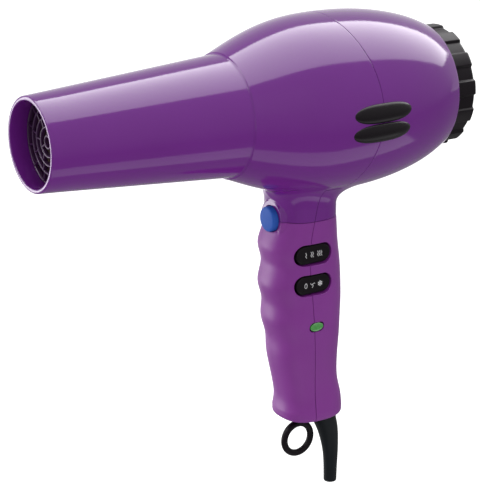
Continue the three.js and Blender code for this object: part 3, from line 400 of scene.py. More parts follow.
# ---------- holes in a surface ----------
def open_hole(points, faces, normals, distance, outwards, inwards, radius, depth):
    """Cuts a hole where distance is below nought and rolls its edge inwards.

    Points near the outline slide along the surface onto it, quads inside go, quads that
    the outline crosses corner to corner keep their outer triangle, and the edge left
    there goes down a quarter circle and then straight along inwards.
    """
    points = points.copy()
    corners = points[faces]
    edges = np.linalg.norm(corners - np.roll(corners, 1, 1), axis=-1)
    close = np.abs(distance)[faces].min(1) < 1
    reach = 0.52 * np.percentile(edges[close], 98) if close.any() else 0.3
    on = np.abs(distance) < reach
    inside = distance <= -reach
    along = outwards - np.sum(outwards * normals, -1, keepdims=True) * normals
    steepness = np.maximum(np.sum(along * outwards, -1), 0.2)
    points[on] -= (distance / steepness)[on, None] * along[on]

    touched = inside[faces].any(1)
    kept = faces[~touched]
    crossed = faces[touched & ~(inside | on)[faces].all(1)]
    crossed_inside = inside[crossed]
    single = crossed_inside.sum(1) == 1
    first = crossed_inside.argmax(1)
    order = (first[:, None] + np.arange(1, 4)) % 4
    triangles = np.take_along_axis(crossed, order, 1)[single]

    borders = [np.stack([f, np.roll(f, -1, 1)], -1).reshape(-1, 2) for f in (kept, triangles)]
    directed = np.concatenate(borders)
    directed = directed[on[directed].all(1)]
    count = len(points)
    forward = directed[:, 0].astype(np.int64) * count + directed[:, 1]
    backward = directed[:, 1].astype(np.int64) * count + directed[:, 0]
    rim = directed[~np.isin(forward, backward)]
    rim = rim[(np.abs(distance)[rim] < reach).all(1)]
    used, local = np.unique(rim, return_inverse=True)
    local = local.reshape(-1, 2)
    towards = -unit(along[used])
    down = np.asarray(inwards, float)
    turns = np.linspace(0, math.pi / 2, 5)[1:, None, None]
    rows = points[used] + radius * np.sin(turns) * towards + radius * (1 - np.cos(turns)) * down
    floor = points[used] + radius * towards + depth * down
    rows = np.concatenate([rows, floor[None]])
    numbers = [used] + [count + k * len(used) + np.arange(len(used)) for k in range(len(rows))]
    wall = [np.stack([above[local[:, 1]], above[local[:, 0]],
                      below[local[:, 0]], below[local[:, 1]]], -1)
            for above, below in zip(numbers, numbers[1:])]
    points = np.concatenate([points, rows.reshape(-1, 3)])
    return points, [np.concatenate([kept] + wall), triangles]


def stadium_distance(x, z, place, long, high):
    """Signed distance to a stadium in the XZ plane, and its outward direction there.

    It is the distance to the middle segment less half the height.
    """
    reach = (long - high) / 2
    gap_x = x - place[0] - np.clip(x - place[0], -reach, reach)
    gap_z = z - place[1]
    away = np.maximum(np.hypot(gap_x, gap_z), 1e-9)
    return away - high / 2, stacked(gap_x / away, 0 * gap_x, gap_z / away)


# ---------- meshes ----------
def make_piece(name, surfaces, slot, replaced=None, body="housing", finish=None):
    """Joins surfaces into one object that rides on a CAD body and may replace a CAD node.

    Its finish is the one named like its slot, unless another is given.
    Each surface's faces are turned over if the volume that they sweep about the
    surface's middle comes out negative.
    """
    points, faces, start = [], [], 0
    for places, corner_lists in surfaces:
        corner_lists = corner_lists if isinstance(corner_lists, list) else [corner_lists]
        middle = places.mean(0)
        volume = 0
        for corners in corner_lists:
            a, b, c = (places[corners[:, k]] - middle for k in (0, 1, 2))
            d = places[corners[:, -1]] - middle
            volume += np.sum(a * np.cross(b, c)) + np.sum(a * np.cross(c, d))
        for corners in corner_lists:
            ordered = corners if volume > 0 else corners[:, ::-1]
            faces.extend((ordered + start).tolist())
        points.append(places)
        start += len(places)
    mesh = bpy.data.meshes.new(name)
    mesh.from_pydata((np.concatenate(points) * MM).tolist(), [], faces)
    whole = bmesh.new()
    whole.from_mesh(mesh)
    bmesh.ops.remove_doubles(whole, verts=whole.verts, dist=2e-6)
    bmesh.ops.dissolve_degenerate(whole, edges=whole.edges, dist=1e-7)
    whole.to_mesh(mesh)
    whole.free()
    mesh.validate()
    mesh.shade_smooth()
    mesh.set_sharp_from_angle(angle=math.radians(CREASE_DEGREES))
    mesh.materials.append(finishes()[finish or slot])
    piece = bpy.data.objects.new(name, mesh)
    bpy.context.scene.collection.objects.link(piece)
    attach(piece, body)
    if replaced:
        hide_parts(replaced)


# ---------- shader writing ----------
class Socket:
    """A node's output that arithmetic can be written with; each operation adds a Math node."""

    def __init__(self, nodes, link):
        self.nodes = nodes
        self.link = link

    def maths(self, operation, *others):
        return self.nodes.node("ShaderNodeMath", {"operation": operation},
                               dict(enumerate((self, *others))))

    def __add__(self, other):
        return self.maths("ADD", other)

    def __mul__(self, other):
        return self.maths("MULTIPLY", other)

    def __pow__(self, other):
        return self.maths("POWER", other)

    __radd__ = __add__
    __rmul__ = __mul__


class Nodes:
    """The node tree of a material or world and short ways of adding to it."""

    def __init__(self, owner):
        owner.use_nodes = True
        self.tree = owner.node_tree

    def fill(self, socket, value):
        """Gives a socket a link or a constant."""
        if isinstance(value, Socket):
            self.tree.links.new(value.link, socket)
        elif isinstance(value, (tuple, list)) and len(value) == 3 and socket.type == "RGBA":
            socket.default_value = (*value, 1)
        else:
            socket.default_value = value

    def node(self, kind, settings=None, inputs=None, output=0):
        """Adds a node, applies its settings, fills its sockets and returns one output."""
        added = self.tree.nodes.new(kind)
        for key, value in (settings or {}).items():
            setattr(added, key, value)
        for key, value in (inputs or {}).items():
            self.fill(added.inputs[key], value)
        return Socket(self, added.outputs[output])

    def between(self, value, low, high):
        """Stretches a 0 to 1 value over a range, kept inside it."""
        return self.node("ShaderNodeMapRange", None, {
            "Value": value, "To Min": low, "To Max": high})

    def seen(self):
        """1 for camera, glossy and transmission rays, which see plain white, or else 0."""
        camera, glossy, through = (
            self.node("ShaderNodeLightPath", output=f"Is {kind} Ray")
            for kind in ("Camera", "Glossy", "Transmission"))
        return camera.maths("MAXIMUM", glossy).maths("MAXIMUM", through)


class Shader(Nodes):
    """A material whose surface is one Principled shader."""

    def __init__(self, name, base, roughness, **constants):
        self.material = bpy.data.materials.new(name)
        super().__init__(self.material)
        self.surface = self.tree.nodes["Principled BSDF"]
        self.place = self.node("ShaderNodeTexCoord", output="Object")
        self.set("Base Color", base)
        self.set("Roughness", roughness)
        for name, value in constants.items():
            self.set(name.replace("_", " ").title().replace("Ior", "IOR"), value)

    def set(self, socket, value):
        """Sets one socket of the surface."""
        self.fill(self.surface.inputs[socket], value)

    def noise(self, size_mm, detail=2.0, place=None):
        """Noise whose lumps are about size_mm across, from 0 to 1."""
        return self.node("ShaderNodeTexNoise", None, {
            "Vector": place or self.place, "Scale": 1 / (size_mm * MM), "Detail": detail})

    def mix(self, factor, first, second):
        """A colour between two colours."""
        return self.node("ShaderNodeMix", {"data_type": "RGBA"},
                         {0: factor, 6: first, 7: second}, output=2)

    def bump(self, height, depth_mm, strength=1.0):
        """Raises the surface by a height pattern."""
        normal = self.node("ShaderNodeBump", None, {
            "Strength": strength, "Distance": depth_mm * MM, "Height": height})
        self.set("Normal", normal)


def shade(colours, factor):
    """A colour made lighter or darker."""
    return tuple(min(1.0, c * factor) for c in colours)


def glossy_plastic(name, base):
    """Clear-faced moulded plastic: faint flow clouds, fine orange peel, uneven polish."""
    shader = Shader(name, base, 0.12, specular_ior_level=0.36)
    clouds = shader.noise(38, 3)
    shader.set("Base Color", shader.mix(clouds, shade(base, 0.93), shade(base, 1.07)))
    polish = shader.noise(9, 4)
    shader.set("Roughness", shader.between(polish, 0.07, 0.13))
    shader.bump(shader.noise(1.3, 1), 0.003, 0.3)
    return shader.material


def satin_plastic(name, base, rough=(0.3, 0.4), grain_mm=0.35, depth_mm=0.012, shine=0.36):
    """Plastic from a finely etched mould: a tight grain that spreads the highlights."""
    shader = Shader(name, base, rough[0], specular_ior_level=shine)
    clouds = shader.noise(26, 3)
    grain = shader.noise(grain_mm, 2)
    shader.set("Base Color", shader.mix(clouds, shade(base, 0.92), shade(base, 1.08)))
    shader.set("Roughness", shader.between(clouds * 0.6 + grain * 0.4, *rough))
    shader.bump(grain, depth_mm, 0.5)
    return shader.material


def rubber(name, base):
    """Soft plastic with a dull bloom and a fine skin."""
    shader = Shader(name, base, 0.5, specular_ior_level=0.14)
    bloom = shader.noise(7, 4)
    shader.set("Base Color", shader.mix(bloom, shade(base, 0.8), shade(base, 1.3)))
    shader.set("Roughness", shader.between(bloom, 0.36, 0.52))
    shader.bump(shader.noise(0.5, 2), 0.02, 0.35)
    return shader.material


def tinted_lens(name, base):
    """Moulded tinted lens: clear face over a finely frosted back."""
    shader = Shader(name, base, 0.12, ior=1.55, coat_weight=0.6, coat_roughness=0.03)
    frost = shader.node("ShaderNodeTexVoronoi", None, {
        "Vector": shader.place, "Scale": 1 / (0.7 * MM)})
    shader.set("Base Color", shader.mix(frost, shade(base, 1.25), shade(base, 0.8)))
    shader.set("Roughness", shader.between(frost, 0.10, 0.24))
    return shader.material


def metal(name, base, rough, brush_mm=0.25, stretch=(0.02, 1, 1)):
    """Drawn or rolled metal: streaks along X that vary its shine."""
    shader = Shader(name, base, rough, metallic=1.0)
    stretched = shader.node("ShaderNodeMapping", None, {
        "Vector": shader.place, "Scale": stretch})
    streaks = shader.noise(brush_mm, 3, stretched)
    shader.set("Base Color", shader.mix(streaks, shade(base, 0.82), shade(base, 1.1)))
    shader.set("Roughness", shader.between(streaks, rough * 0.75, rough * 1.35))
    shader.bump(streaks, 0.01, 0.3)
    return shader.material


def flaky(name, base):
    """Pressed mica sheet: overlapping flakes in slightly different tans."""
    shader = Shader(name, base, 0.5, ior=1.56)
    flakes = shader.node("ShaderNodeTexVoronoi", None, {
        "Vector": shader.place, "Scale": 1 / (3.2 * MM)}, output="Color")
    tone = shader.node("ShaderNodeRGBToBW", None, {"Color": flakes})
    shader.set("Base Color", shader.mix(tone, shade(base, 0.72), shade(base, 1.2)))
    shader.set("Roughness", shader.between(tone, 0.35, 0.65))
    shader.bump(tone, 0.03, 0.5)
    return shader.material


def woven_screen(name, base):
    """Fine wire screen: two sets of round wires crossing every 0.8 mm."""
    shader = Shader(name, base, 0.4, metallic=0.7)
    pitch = 0.8 * MM
    wires = []
    for axis in ("Y", "Z"):
        across = shader.node("ShaderNodeSeparateXYZ", None, {"Vector": shader.place}, output=axis)
        phase = across * (2 * math.pi / pitch)
        wires.append(phase.maths("SINE") * 0.5 + 0.5)
    weave = wires[0].maths("MAXIMUM", wires[1]) ** 2.5
    shader.set("Base Color", shader.mix(weave, (0.004, 0.004, 0.005), base))
    shader.set("Roughness", shader.between(weave, 0.8, 0.35))
    shader.bump(weave, 0.25, 0.8)
    return shader.material


def circuit_board(name, base):
    """Lacquered board with lighter copper tracks under the green."""
    shader = Shader(name, base, 0.3, ior=1.5, coat_weight=0.4)
    tracks = shader.node("ShaderNodeTexBrick", None, {
        "Vector": shader.place, "Scale": 90.0, "Color1": shade(base, 1.5), "Color2": base,
        "Mortar": shade(base, 0.6)}, output="Color")
    shader.set("Base Color", tracks)
    shader.set("Roughness", shader.between(shader.noise(2, 3), 0.22, 0.4))
    return shader.material


def glowing(name, base):
    """Small lamp body: milky plastic with a brighter core."""
    shader = Shader(name, base, 0.25, ior=1.5)
    core = shader.noise(1.2, 1)
    shader.set("Base Color", shader.mix(core, shade(base, 0.7), shade(base, 1.3)))
    shader.set("Roughness", shader.between(core, 0.2, 0.35))
    return shader.material


def ink(name, base):
    """Pad-printed ink: nearly even, with tiny pinholes in its cover."""
    shader = Shader(name, base, 0.45, ior=1.48)
    cover = shader.noise(0.25, 3)
    shader.set("Base Color", shader.mix(cover, shade(base, 0.82), shade(base, 1.1)))
    shader.set("Roughness", shader.between(cover, 0.35, 0.55))
    return shader.material


FINISHES = {}


def made_name(material):
    """A finish's own name, without the number that Blender adds to a name in use."""
    return material.name.split(".")[0]


def finishes():
    """All the finishes by slot name, made once."""
    if FINISHES:
        return FINISHES
    colours = bpy.context.scene.dryer_colours
    FINISHES.update({made_name(m): m for m in [
        glossy_plastic("gloss_purple", tuple(colours.shell)),
        satin_plastic("satin_purple", tuple(colours.handle), (0.38, 0.5)),
        satin_plastic("dark_purple", tuple(colours.inside), (0.3, 0.42), 0.6),
        satin_plastic("black_plastic", tuple(colours.black), (0.3, 0.4), 0.4, 0.02, 0.1),
        satin_plastic("pad_black", tuple(colours.black), (0.2, 0.3), 0.5, 0.015, 0.16),
        rubber("soft_black", tuple(colours.rubber)),
        satin_plastic("carbon", (0.02, 0.02, 0.022), (0.5, 0.7), 0.2, 0.03),
        satin_plastic("blue_button", tuple(colours.button), (0.4, 0.5), 0.5, 0.01, 0.08),
        tinted_lens("green_lens", tuple(colours.lens)),
        glowing("lamp", (0.2, 0.55, 0.2)),
        metal("steel", (0.42, 0.42, 0.43), 0.32),
        metal("bronze", (0.45, 0.27, 0.12), 0.35),
        metal("winding", (0.50, 0.19, 0.07), 0.3, 0.4, (1, 1, 0.05)),
        metal("nichrome", (0.24, 0.22, 0.21), 0.42, 0.2),
        flaky("mica", (0.42, 0.34, 0.22)),
        woven_screen("screen", (0.22, 0.22, 0.23)),
        circuit_board("board_green", (0.012, 0.085, 0.040)),
        satin_plastic("cream", (0.66, 0.62, 0.50), (0.4, 0.5)),
        rubber("wire_black", (0.012, 0.012, 0.013)),
        ink("white_print", tuple(colours.printed)),
    ]})
    return FINISHES


# ---------- barrel and body ----------
def barrel_surface():
    """The cone of the barrel, turned about its axis: rim, outside, spigot and inside wall."""
    inner = OUTLET_RADIUS - WALL
    back = BODY_FRONT_X + SPIGOT_LENGTH
    rim_length = 12
    rim_back, rise = OUTLET_X + rim_length, rim_length * BARREL_SLOPE
    rim = softened([
        (rim_back, inner + rise), (OUTLET_X, inner), (OUTLET_X, OUTLET_RADIUS),
        (rim_back, OUTLET_RADIUS + rise)],
        [0.7, 0.95])
    outside = [(x, OUTLET_RADIUS + (x - OUTLET_X) * BARREL_SLOPE)
               for x in np.linspace(rim_back + 2, BODY_FRONT_X + 1.5, 60)]
    tail = [(back, BARREL_BACK_RADIUS - 1.6), (back, BARREL_BACK_RADIUS - 3.6),
            (rim_back, inner + rise)]
    return turned(np.concatenate([rim, outside, tail]), 288)


class DRYER_OT_barrel(bpy.types.Operator):
    """Build the barrel with its rounded rim and inside wall"""
    bl_idname = "dryer.barrel"
    bl_label = "Barrel"

    def execute(self, context):
        make_piece("barrel_skin", [barrel_surface()], "gloss_purple", "front_barrel")
        return {"FINISHED"}


def body_angles():
    """Angles round the body, closer together where the seam turns under it."""
    half = np.concatenate([
        np.linspace(0, 148, 150, endpoint=False), np.linspace(148, 153, 41),
        np.linspace(154, 180, 24)])
    return np.radians(np.concatenate([half, 360 - half[-2:0:-1]]))


def nose_outline():
    """Front edge of the body, as [x, radius] rows: a thin lip that sweeps up from the barrel.

    It is the quadratic from the lip to the start of the body's outline; its corner is on
    the barrel's line, half of NOSE_LENGTH behind the lip.
    """
    lip = np.array([
        BODY_FRONT_X - NOSE_LENGTH, BARREL_BACK_RADIUS - NOSE_LENGTH * BARREL_SLOPE + 0.02])
    corner = lip + 0.5 * NOSE_LENGTH * np.array([1, BARREL_SLOPE])
    under = lip - [(0, 0.4), (0, 0.03)]
    t = np.linspace(0, 1, 14)[:-1, None]
    return np.concatenate([under, bezier(lip, corner, np.array(BODY_OUTLINE[0]), t)])


def ring_seam_x(height):
    """Where the seam round the body is at a height: a parabola about the barrel's axis.

    x = RING_SEAM_X - RING_SEAM_BOW ((height - AXIS_Z) / BODY_WIDEST_RADIUS)^2.
    """
    return RING_SEAM_X - RING_SEAM_BOW * ((height - AXIS_Z) / BODY_WIDEST_RADIUS) ** 2


def body_grid(x, turn):
    """Points and outward normals of the body's outline turned about the barrel's axis."""
    reach = body_radius(x)
    grid = about_axis(x, reach, turn)
    axis = stacked(x, 0, AXIS_Z)
    wrapped = np.concatenate([grid[:, -1:], grid, grid[:, :1]], 1)
    centre = np.concatenate([axis[:, -1:], axis, axis[:, :1]], 1)
    return grid, grid_normals(wrapped, centre)[:, 1:-1]


def body_front_surface(gap, radius):
    """Front moulding: the body's outline turned about the axis, each column ending at the seam.

    The seam is the bowed ring, except below SHELF_Z, where it runs forward along that
    level; both ends of a column roll inwards.
    """
    turn = body_angles()
    below = np.minimum(turn, 2 * math.pi - turn)
    corner_turn = math.acos(-(AXIS_Z - SHELF_Z - gap / 2) / body_radius(ring_seam_x(SHELF_Z)))
    end_turns = np.degrees(corner_turn) + np.array([-2.2, -1.1, -0.45, -0.15, 0, 1.05])
    inward = np.interp(np.degrees(below), end_turns, [0, 0.01, 0.05, 0.1, 0.17, 1])
    ring = ring_seam_x(AXIS_Z + body_radius(RING_SEAM_X) * np.cos(turn))
    end = ring * (1 - inward) + NECK_SEAM[0][1] * inward - gap / 2
    along = np.concatenate([[0, 0.004, 0.01], np.linspace(0.02, 1, 110)])
    x = BODY_FRONT_X + along[:, None] * (end - BODY_FRONT_X)
    grid, normals = body_grid(x, turn)
    back_lip = rolled(grid[-1], normals[-1], (1, 0, 0), radius, WALL)
    nose = about_axis(*as_columns(nose_outline()), turn)
    return patch(np.concatenate([nose, grid, back_lip]), True)


def body_rear_surface(gap, radius):
    """Rear moulding: the outline turned about the axis, from the seam to the cap's mouth."""
    turn = body_angles()
    start = ring_seam_x(AXIS_Z + body_radius(RING_SEAM_X) * np.cos(turn)) + gap / 2
    x = start + np.linspace(0, 1, 110)[:, None] * (REAR_EDGE_X - start)
    grid, normals = body_grid(x, turn)
    lip = rolled(grid[0], normals[0], (-1, 0, 0), radius, WALL)[::-1]
    mouth_x = BODY_BACK_X - MOUTH_DEPTH
    mouth = softened([
        (REAR_EDGE_X, body_radius(REAR_EDGE_X)), (BODY_BACK_X, REAR_EDGE_RADIUS),
        (BODY_BACK_X, MOUTH_RADIUS), (mouth_x, MOUTH_RADIUS), (mouth_x, MOUTH_RADIUS - 3)],
        [0.9, 0.35, 0])
    back = about_axis(*as_columns(mouth), turn)
    return patch(np.concatenate([lip, grid[:-1], back]), True)


# ---------- grip and neck ----------
def superellipse(angle, half_length, half_width):
    """x and y of (|cos|^(2/n) a, |sin|^(2/n) b), with the signs of cos and sin."""
    power = 2 / GRIP_SQUARENESS
    return (half_length * signed_power(np.cos(angle), power),
            half_width * signed_power(np.sin(angle), power))


def arc_table():
    """Angle against length along a superellipse of about the grip's section."""
    angle = np.linspace(0, 2 * math.pi, 7201)
    x, y = superellipse(angle, *MEAN_HALF_SECTION)
    steps = np.hypot(np.diff(x), np.diff(y))
    return angle, np.concatenate([[0], np.cumsum(steps)])


ARC_ANGLE, ARC_LENGTH = arc_table()


def arc_length(angle):
    """Length along the superellipse up to an angle, whole turns counted."""
    turns = np.floor(angle / (2 * math.pi))
    return np.interp(angle - turns * 2 * math.pi, ARC_ANGLE, ARC_LENGTH) + turns * ARC_LENGTH[-1]


def even_angles(low, high, count):
    """Angles from low to high, evenly spaced along the superellipse; one row per low."""
    start, end = arc_length(low), arc_length(high)
    travelled = start[:, None] + (end - start)[:, None] * np.linspace(0, 1, count)
    return np.interp(np.mod(travelled, ARC_LENGTH[-1]), ARC_LENGTH, ARC_ANGLE)


def grip_points(height, angle):
    """Points of the grip: a superellipse between the front and back outlines at each height.

    At the bottom it draws in along a quarter circle of BOTTOM_ROUNDING.
    """
    front, back = grip_front(height), grip_back(height)
    rise = np.clip(GRIP_BOTTOM + BOTTOM_ROUNDING - height, 0, BOTTOM_ROUNDING)
    rounding = BOTTOM_ROUNDING - np.sqrt(BOTTOM_ROUNDING**2 - rise**2)
    x, y = superellipse(angle, (back - front) / 2 - rounding, grip_half_width(height) - rounding)
    return stacked((front + back) / 2 + x, y, height)


def neck_points(along, angle):
    """Points of the neck: upright to BEND_Z, then a quadratic Bezier out onto the body.

    Its corner is above the start, at the level of the body's tangent plane at its end, so
    it leaves the grip upright and meets the body without a crease. The first BEND_SHARE
    of along is the upright part.
    """
    start = grip_points(NECK_Z + 0 * angle, angle)
    start[..., 2] = NECK_Z + (BEND_Z - NECK_Z) * np.minimum(along / BEND_SHARE, 1)
    x, y = superellipse(angle, FOOT_HALF_LENGTH, FOOT_HALF_WIDTH)
    x = x + FOOT_CENTRE_X
    reach = body_radius(x)
    slope = (body_radius(x + 0.05) - body_radius(x - 0.05)) / 0.1
    drop = np.sqrt(reach**2 - y**2)
    end = stacked(x, y, AXIS_Z - drop)
    tangent_x, tangent_y = -reach * slope / drop, y / drop
    corner = start.copy()
    corner[..., 2] = end[..., 2] + tangent_x * (start[..., 0] - x) + tangent_y * (start[..., 1] - y)
    t = np.maximum(along - BEND_SHARE, 0)[..., None] / (1 - BEND_SHARE)
    return bezier(start, corner, end, t)


def crossing_angle(place, rows, line_x, shift):
    """Angle on the left side at which each row's x passes line_x of its height, plus shift."""
    angle = np.linspace(math.pi, 2 * math.pi, 721)
    points = place(rows[:, None] + 0 * angle, angle[None, :] + 0 * rows[:, None])
    past = points[..., 0] - line_x(points[..., 2]) - shift
    after = np.clip((past > 0).argmax(1), 1, None)
    number = np.arange(len(rows))
    low, high = past[number, after - 1], past[number, after]
    return angle[after - 1] + (angle[after] - angle[after - 1]) * (-low / (high - low))


def half_grid(place, rows, side, gap, columns):
    """Grid of one moulding of grip or neck: side -1 is the front half, +1 the rear."""
    turn = crossing_angle(place, rows, neck_seam, side * gap / 2)
    if side < 0:
        angle = even_angles(2 * math.pi - turn, turn, columns)
    else:
        angle = even_angles(turn, 4 * math.pi - turn, columns)
    return place(rows[:, None] + 0 * angle, angle)


def share_at_height(grid, rows, height):
    """Share of the way up each column at which it reaches a height."""
    return np.array([np.interp(height, column, rows) for column in grid[..., 2].T])


def with_side_lips(grid, normals, side, radius):
    """Adds columns that roll a half moulding's two seam edges inwards."""
    towards = (-side, 0, 0)
    first = rolled(grid[:, 0], normals[:, 0], towards, radius, WALL)
    last = rolled(grid[:, -1], normals[:, -1], towards, radius, WALL)
    lips = [np.swapaxes(first[::-1], 0, 1), np.swapaxes(last, 0, 1)]
    wide = np.concatenate([lips[0], grid, lips[1]], 1)
    count = len(first)
    spread = np.concatenate([
        np.repeat(normals[:, :1], count, 1), normals, np.repeat(normals[:, -1:], count, 1)], 1)
    return wide, spread


def with_end_lip(grid, normals, towards, radius, depth):
    """Adds rows before a grid's first one that roll that edge inwards."""
    lip = rolled(grid[0], normals[0], towards, radius, depth)[::-1]
    spread = np.concatenate([np.repeat(normals[:1], len(lip), 0), normals])
    return np.concatenate([lip, grid]), spread


def upright_normals(grid, x, rise=0):
    """Unit normals of a grid that face away from the upright line at x and y = 0.

    Each points away from the line's point that is rise above its own height.
    """
    return grid_normals(grid, stacked(x, 0, grid[..., 2] + rise))


def collar(points):
    """Pulls the front of the grip and neck out to a soft round collar about the button."""
    away = np.hypot(points[..., 1], points[..., 2] - NECK_Z)
    ring = (1 - smooth(COLLAR_RADIUS, COLLAR_BLEND_RADIUS, away)) * (points[..., 0] < 0)
    pulled = np.minimum(points[..., 0], COLLAR_FACE_X)
    points[..., 0] += ring * (pulled - points[..., 0])
    return points


def button_hole(points, faces, normals):
    """Opens the round hole of the cool-shot button in a surface at the grip's front."""
    y, z = points[:, 1], points[:, 2] - NECK_Z
    away = np.maximum(np.hypot(y, z), 1e-9)
    distance = away - BUTTON_HOLE_RADIUS - BUTTON_HOLE_ROUNDING
    distance = np.where(points[:, 0] < HOLE_WALL, distance, OUT_OF_REACH)
    return open_hole(points, faces, normals, distance, stacked(0, y / away, z / away),
                     (1, 0, 0), BUTTON_HOLE_ROUNDING, BUTTON_HOLE_DEPTH)


def neck_rows():
    """Shares of the way up the neck: even when upright, closer together at the foot."""
    return np.concatenate([np.linspace(0, 0.5, 50, endpoint=False), np.linspace(0.5, 1, 60)])


def neck_front_surface(gap, radius):
    """Front half of the neck with its part of the button hole."""
    grid = half_grid(neck_points, neck_rows(), -1, gap, 170)
    grid[0, :, 2] += gap / 2
    grid = collar(grid)
    grid, normals = with_side_lips(grid, upright_normals(grid, 1.0), -1, radius)
    grid, normals = with_end_lip(grid, normals, (0, 0, -1), radius, WALL)
    return button_hole(*patch(grid), normals.reshape(-1, 3))


def neck_rear_surface(gap, radius):
    """Rear half of the neck; ahead of the ring seam its columns stop at the shelf seam."""
    rows = neck_rows()
    turn = crossing_angle(neck_points, rows, neck_seam, gap / 2)
    columns = 171
    angle = even_angles(turn, 4 * math.pi - turn, columns)
    whole = neck_points(rows[:, None] + 0 * angle, angle)
    shelf = share_at_height(whole, rows, SHELF_Z - gap / 2)
    corner = ring_seam_x(SHELF_Z)
    ahead = 1 - smooth(corner - 0.4, corner + gap, whole[-1, :, 0])
    top = 1 + ahead * (np.minimum(shelf, 1) - 1)
    along = rows[:, None] * top
    edge = np.interp(along, rows, turn)
    angle = even_angles(edge.ravel(), (4 * math.pi - edge).ravel(), columns)
    number = np.arange(columns)
    angle = angle.reshape(*edge.shape, columns)[:, number, number]
    grid = neck_points(along, angle)
    grid[0, :, 2] += gap / 2
    grid, normals = with_side_lips(grid, upright_normals(grid, 1.0), 1, radius)
    top_lip = rolled(grid[-1], normals[-1], (0, 0, 0), radius, THIN_LIP)
    grid, _ = with_end_lip(grid, normals, (0, 0, -1), radius, WALL)
    return patch(np.concatenate([grid, top_lip]))


def neck_strip_surfaces(gap, radius):
    """The parts of the neck's foot above the shelf seam, left and right, of the front moulding."""
    rows = neck_rows()
    near = crossing_angle(neck_points, rows, neck_seam, -gap / 2 - 0.4)
    far = crossing_angle(neck_points, rows, ring_seam_x, -gap / 2)
    across = np.linspace(0, 1, 48)
    angle = near[:, None] + (far - near)[:, None] * across
    whole = neck_points(rows[:, None] + 0 * angle, angle)
    start = share_at_height(whole, rows, SHELF_Z + gap / 2)
    along = start + (1 - start) * np.linspace(0, 1, 24)[:, None]
    angle = np.interp(along, rows, near) * (1 - across) + np.interp(along, rows, far) * across
    grid = neck_points(along, angle)
    grid, normals = with_end_lip(grid, upright_normals(grid, 1.0, 4), (0, 0, -1), radius, THIN_LIP)
    back = rolled(grid[:, -1], normals[:, -1], (1, 0, 0), radius, THIN_LIP)
    left = np.concatenate([grid, np.swapaxes(back, 0, 1)], 1)
    return [patch(left), patch(left * (1, -1, 1))]


def grip_surface(side, gap, radius, hole_radius):
    """One half of the handle: bumps, rolled seams, rounded bottom and its openings."""
    top = NECK_Z - gap / 2
    rows = np.concatenate([
        np.linspace(top, GRIP_BOTTOM + BOTTOM_ROUNDING, 272, endpoint=False),
        GRIP_BOTTOM + BOTTOM_ROUNDING * (1 - np.sin(np.linspace(0, math.pi / 2, 7)))])
    grid = half_grid(grip_points, rows, side, gap, 190)
    if side < 0:
        grid = collar(grid)
    normals = upright_normals(grid, 1.5)
    normals[-1] = (0, 0, -1)
    seam_x = neck_seam(GRIP_BOTTOM) + side * gap / 2
    inwards = np.linspace(0, 1, 14)[1:, None, None]
    last = grid[-1]
    floor = last + inwards * (stacked(seam_x, last[:, 1], last[:, 2]) - last)
    grid = np.concatenate([grid, floor])
    normals = np.concatenate([normals, np.broadcast_to((0.0, 0.0, -1.0), floor.shape)])
    grid, normals = with_side_lips(grid, normals, side, radius)
    grid, normals = with_end_lip(grid, normals, (0, 0, 1), radius, WALL)
    points, faces = patch(grid)
    normals = normals.reshape(-1, 3)
    openings = [(place, *ROCKER_HOLE, hole_radius, ROCKER_HOLE_DEPTH)
                for place in ROCKER_PLACES.values()]
    lens = ((LENS_LOW + LENS_HIGH) / 2)[[0, 2]]
    openings.append((lens, *LENS_HOLE, LENS_HOLE_ROUNDING, LENS_HOLE_DEPTH))
    loose = []
    for place, long, high, rounding, depth in openings:
        distance, outwards = stadium_distance(
            points[:, 0], points[:, 2], place, long + 2 * rounding, high + 2 * rounding)
        distance = np.where(points[:, 1] < HOLE_WALL, distance, OUT_OF_REACH)
        points, (faces, corners) = open_hole(
            points, faces, normals, distance, outwards, (0, 1, 0), rounding, depth)
        loose.append(corners)
        extra = len(points) - len(normals)
        normals = np.concatenate([normals, np.tile((0.0, -1.0, 0.0), (extra, 1))])
    if side < 0:
        points, (faces, corners) = button_hole(points, faces, normals)
        loose.append(corners)
    return points, [faces, *[c for c in loose if len(c)]]


class DRYER_OT_body_shells(bpy.types.Operator):
    """Build the two body mouldings with the neck and the seams between them"""
    bl_idname = "dryer.body_shells"
    bl_label = "Body shells"

    def execute(self, context):
        sizes = context.scene.dryer_sizes
        gap, radius = sizes.seam_gap, sizes.edge_radius
        make_piece("body_front_skin",
                   [body_front_surface(gap, radius), neck_front_surface(gap, radius),
                    *neck_strip_surfaces(gap, radius)],
                   "gloss_purple", "body_front_shell")
        make_piece("body_rear_skin",
                   [body_rear_surface(gap, radius), neck_rear_surface(gap, radius)],
                   "gloss_purple", "body_rear_shell")
        return {"FINISHED"}


class DRYER_OT_handle_shells(bpy.types.Operator):
    """Build the two handle mouldings with finger bumps and switch openings"""
    bl_idname = "dryer.handle_shells"
    bl_label = "Handle shells"

    def execute(self, context):
        sizes = context.scene.dryer_sizes
        for side, name in ((-1, "front"), (1, "rear")):
            surface = grip_surface(side, sizes.seam_gap, sizes.edge_radius, sizes.hole_radius)
            make_piece(f"handle_{name}_skin", [surface], "satin_purple", f"handle_{name}_shell")
        return {"FINISHED"}


# ---------- outlet grille ----------
def slot_section(front, back, width):
    """Depth and offset once round a bar's section: flat sides and two half circles."""
    half = width / 2
    turns = np.linspace(0, math.pi, 7)
    depth = np.concatenate([front + half - half * np.sin(turns), back - half + half * np.sin(turns)])
    across = np.concatenate([-half * np.cos(turns), half * np.cos(turns)])
    return depth, across


def rounded_ring(radius, front, back, width, sides):
    """Ring about the axis with the slot-shaped section."""
    depth, across = slot_section(front, back, width)
    outline = stacked(depth, radius + across)
    return turned(np.concatenate([outline, outline[:1]]), sides)


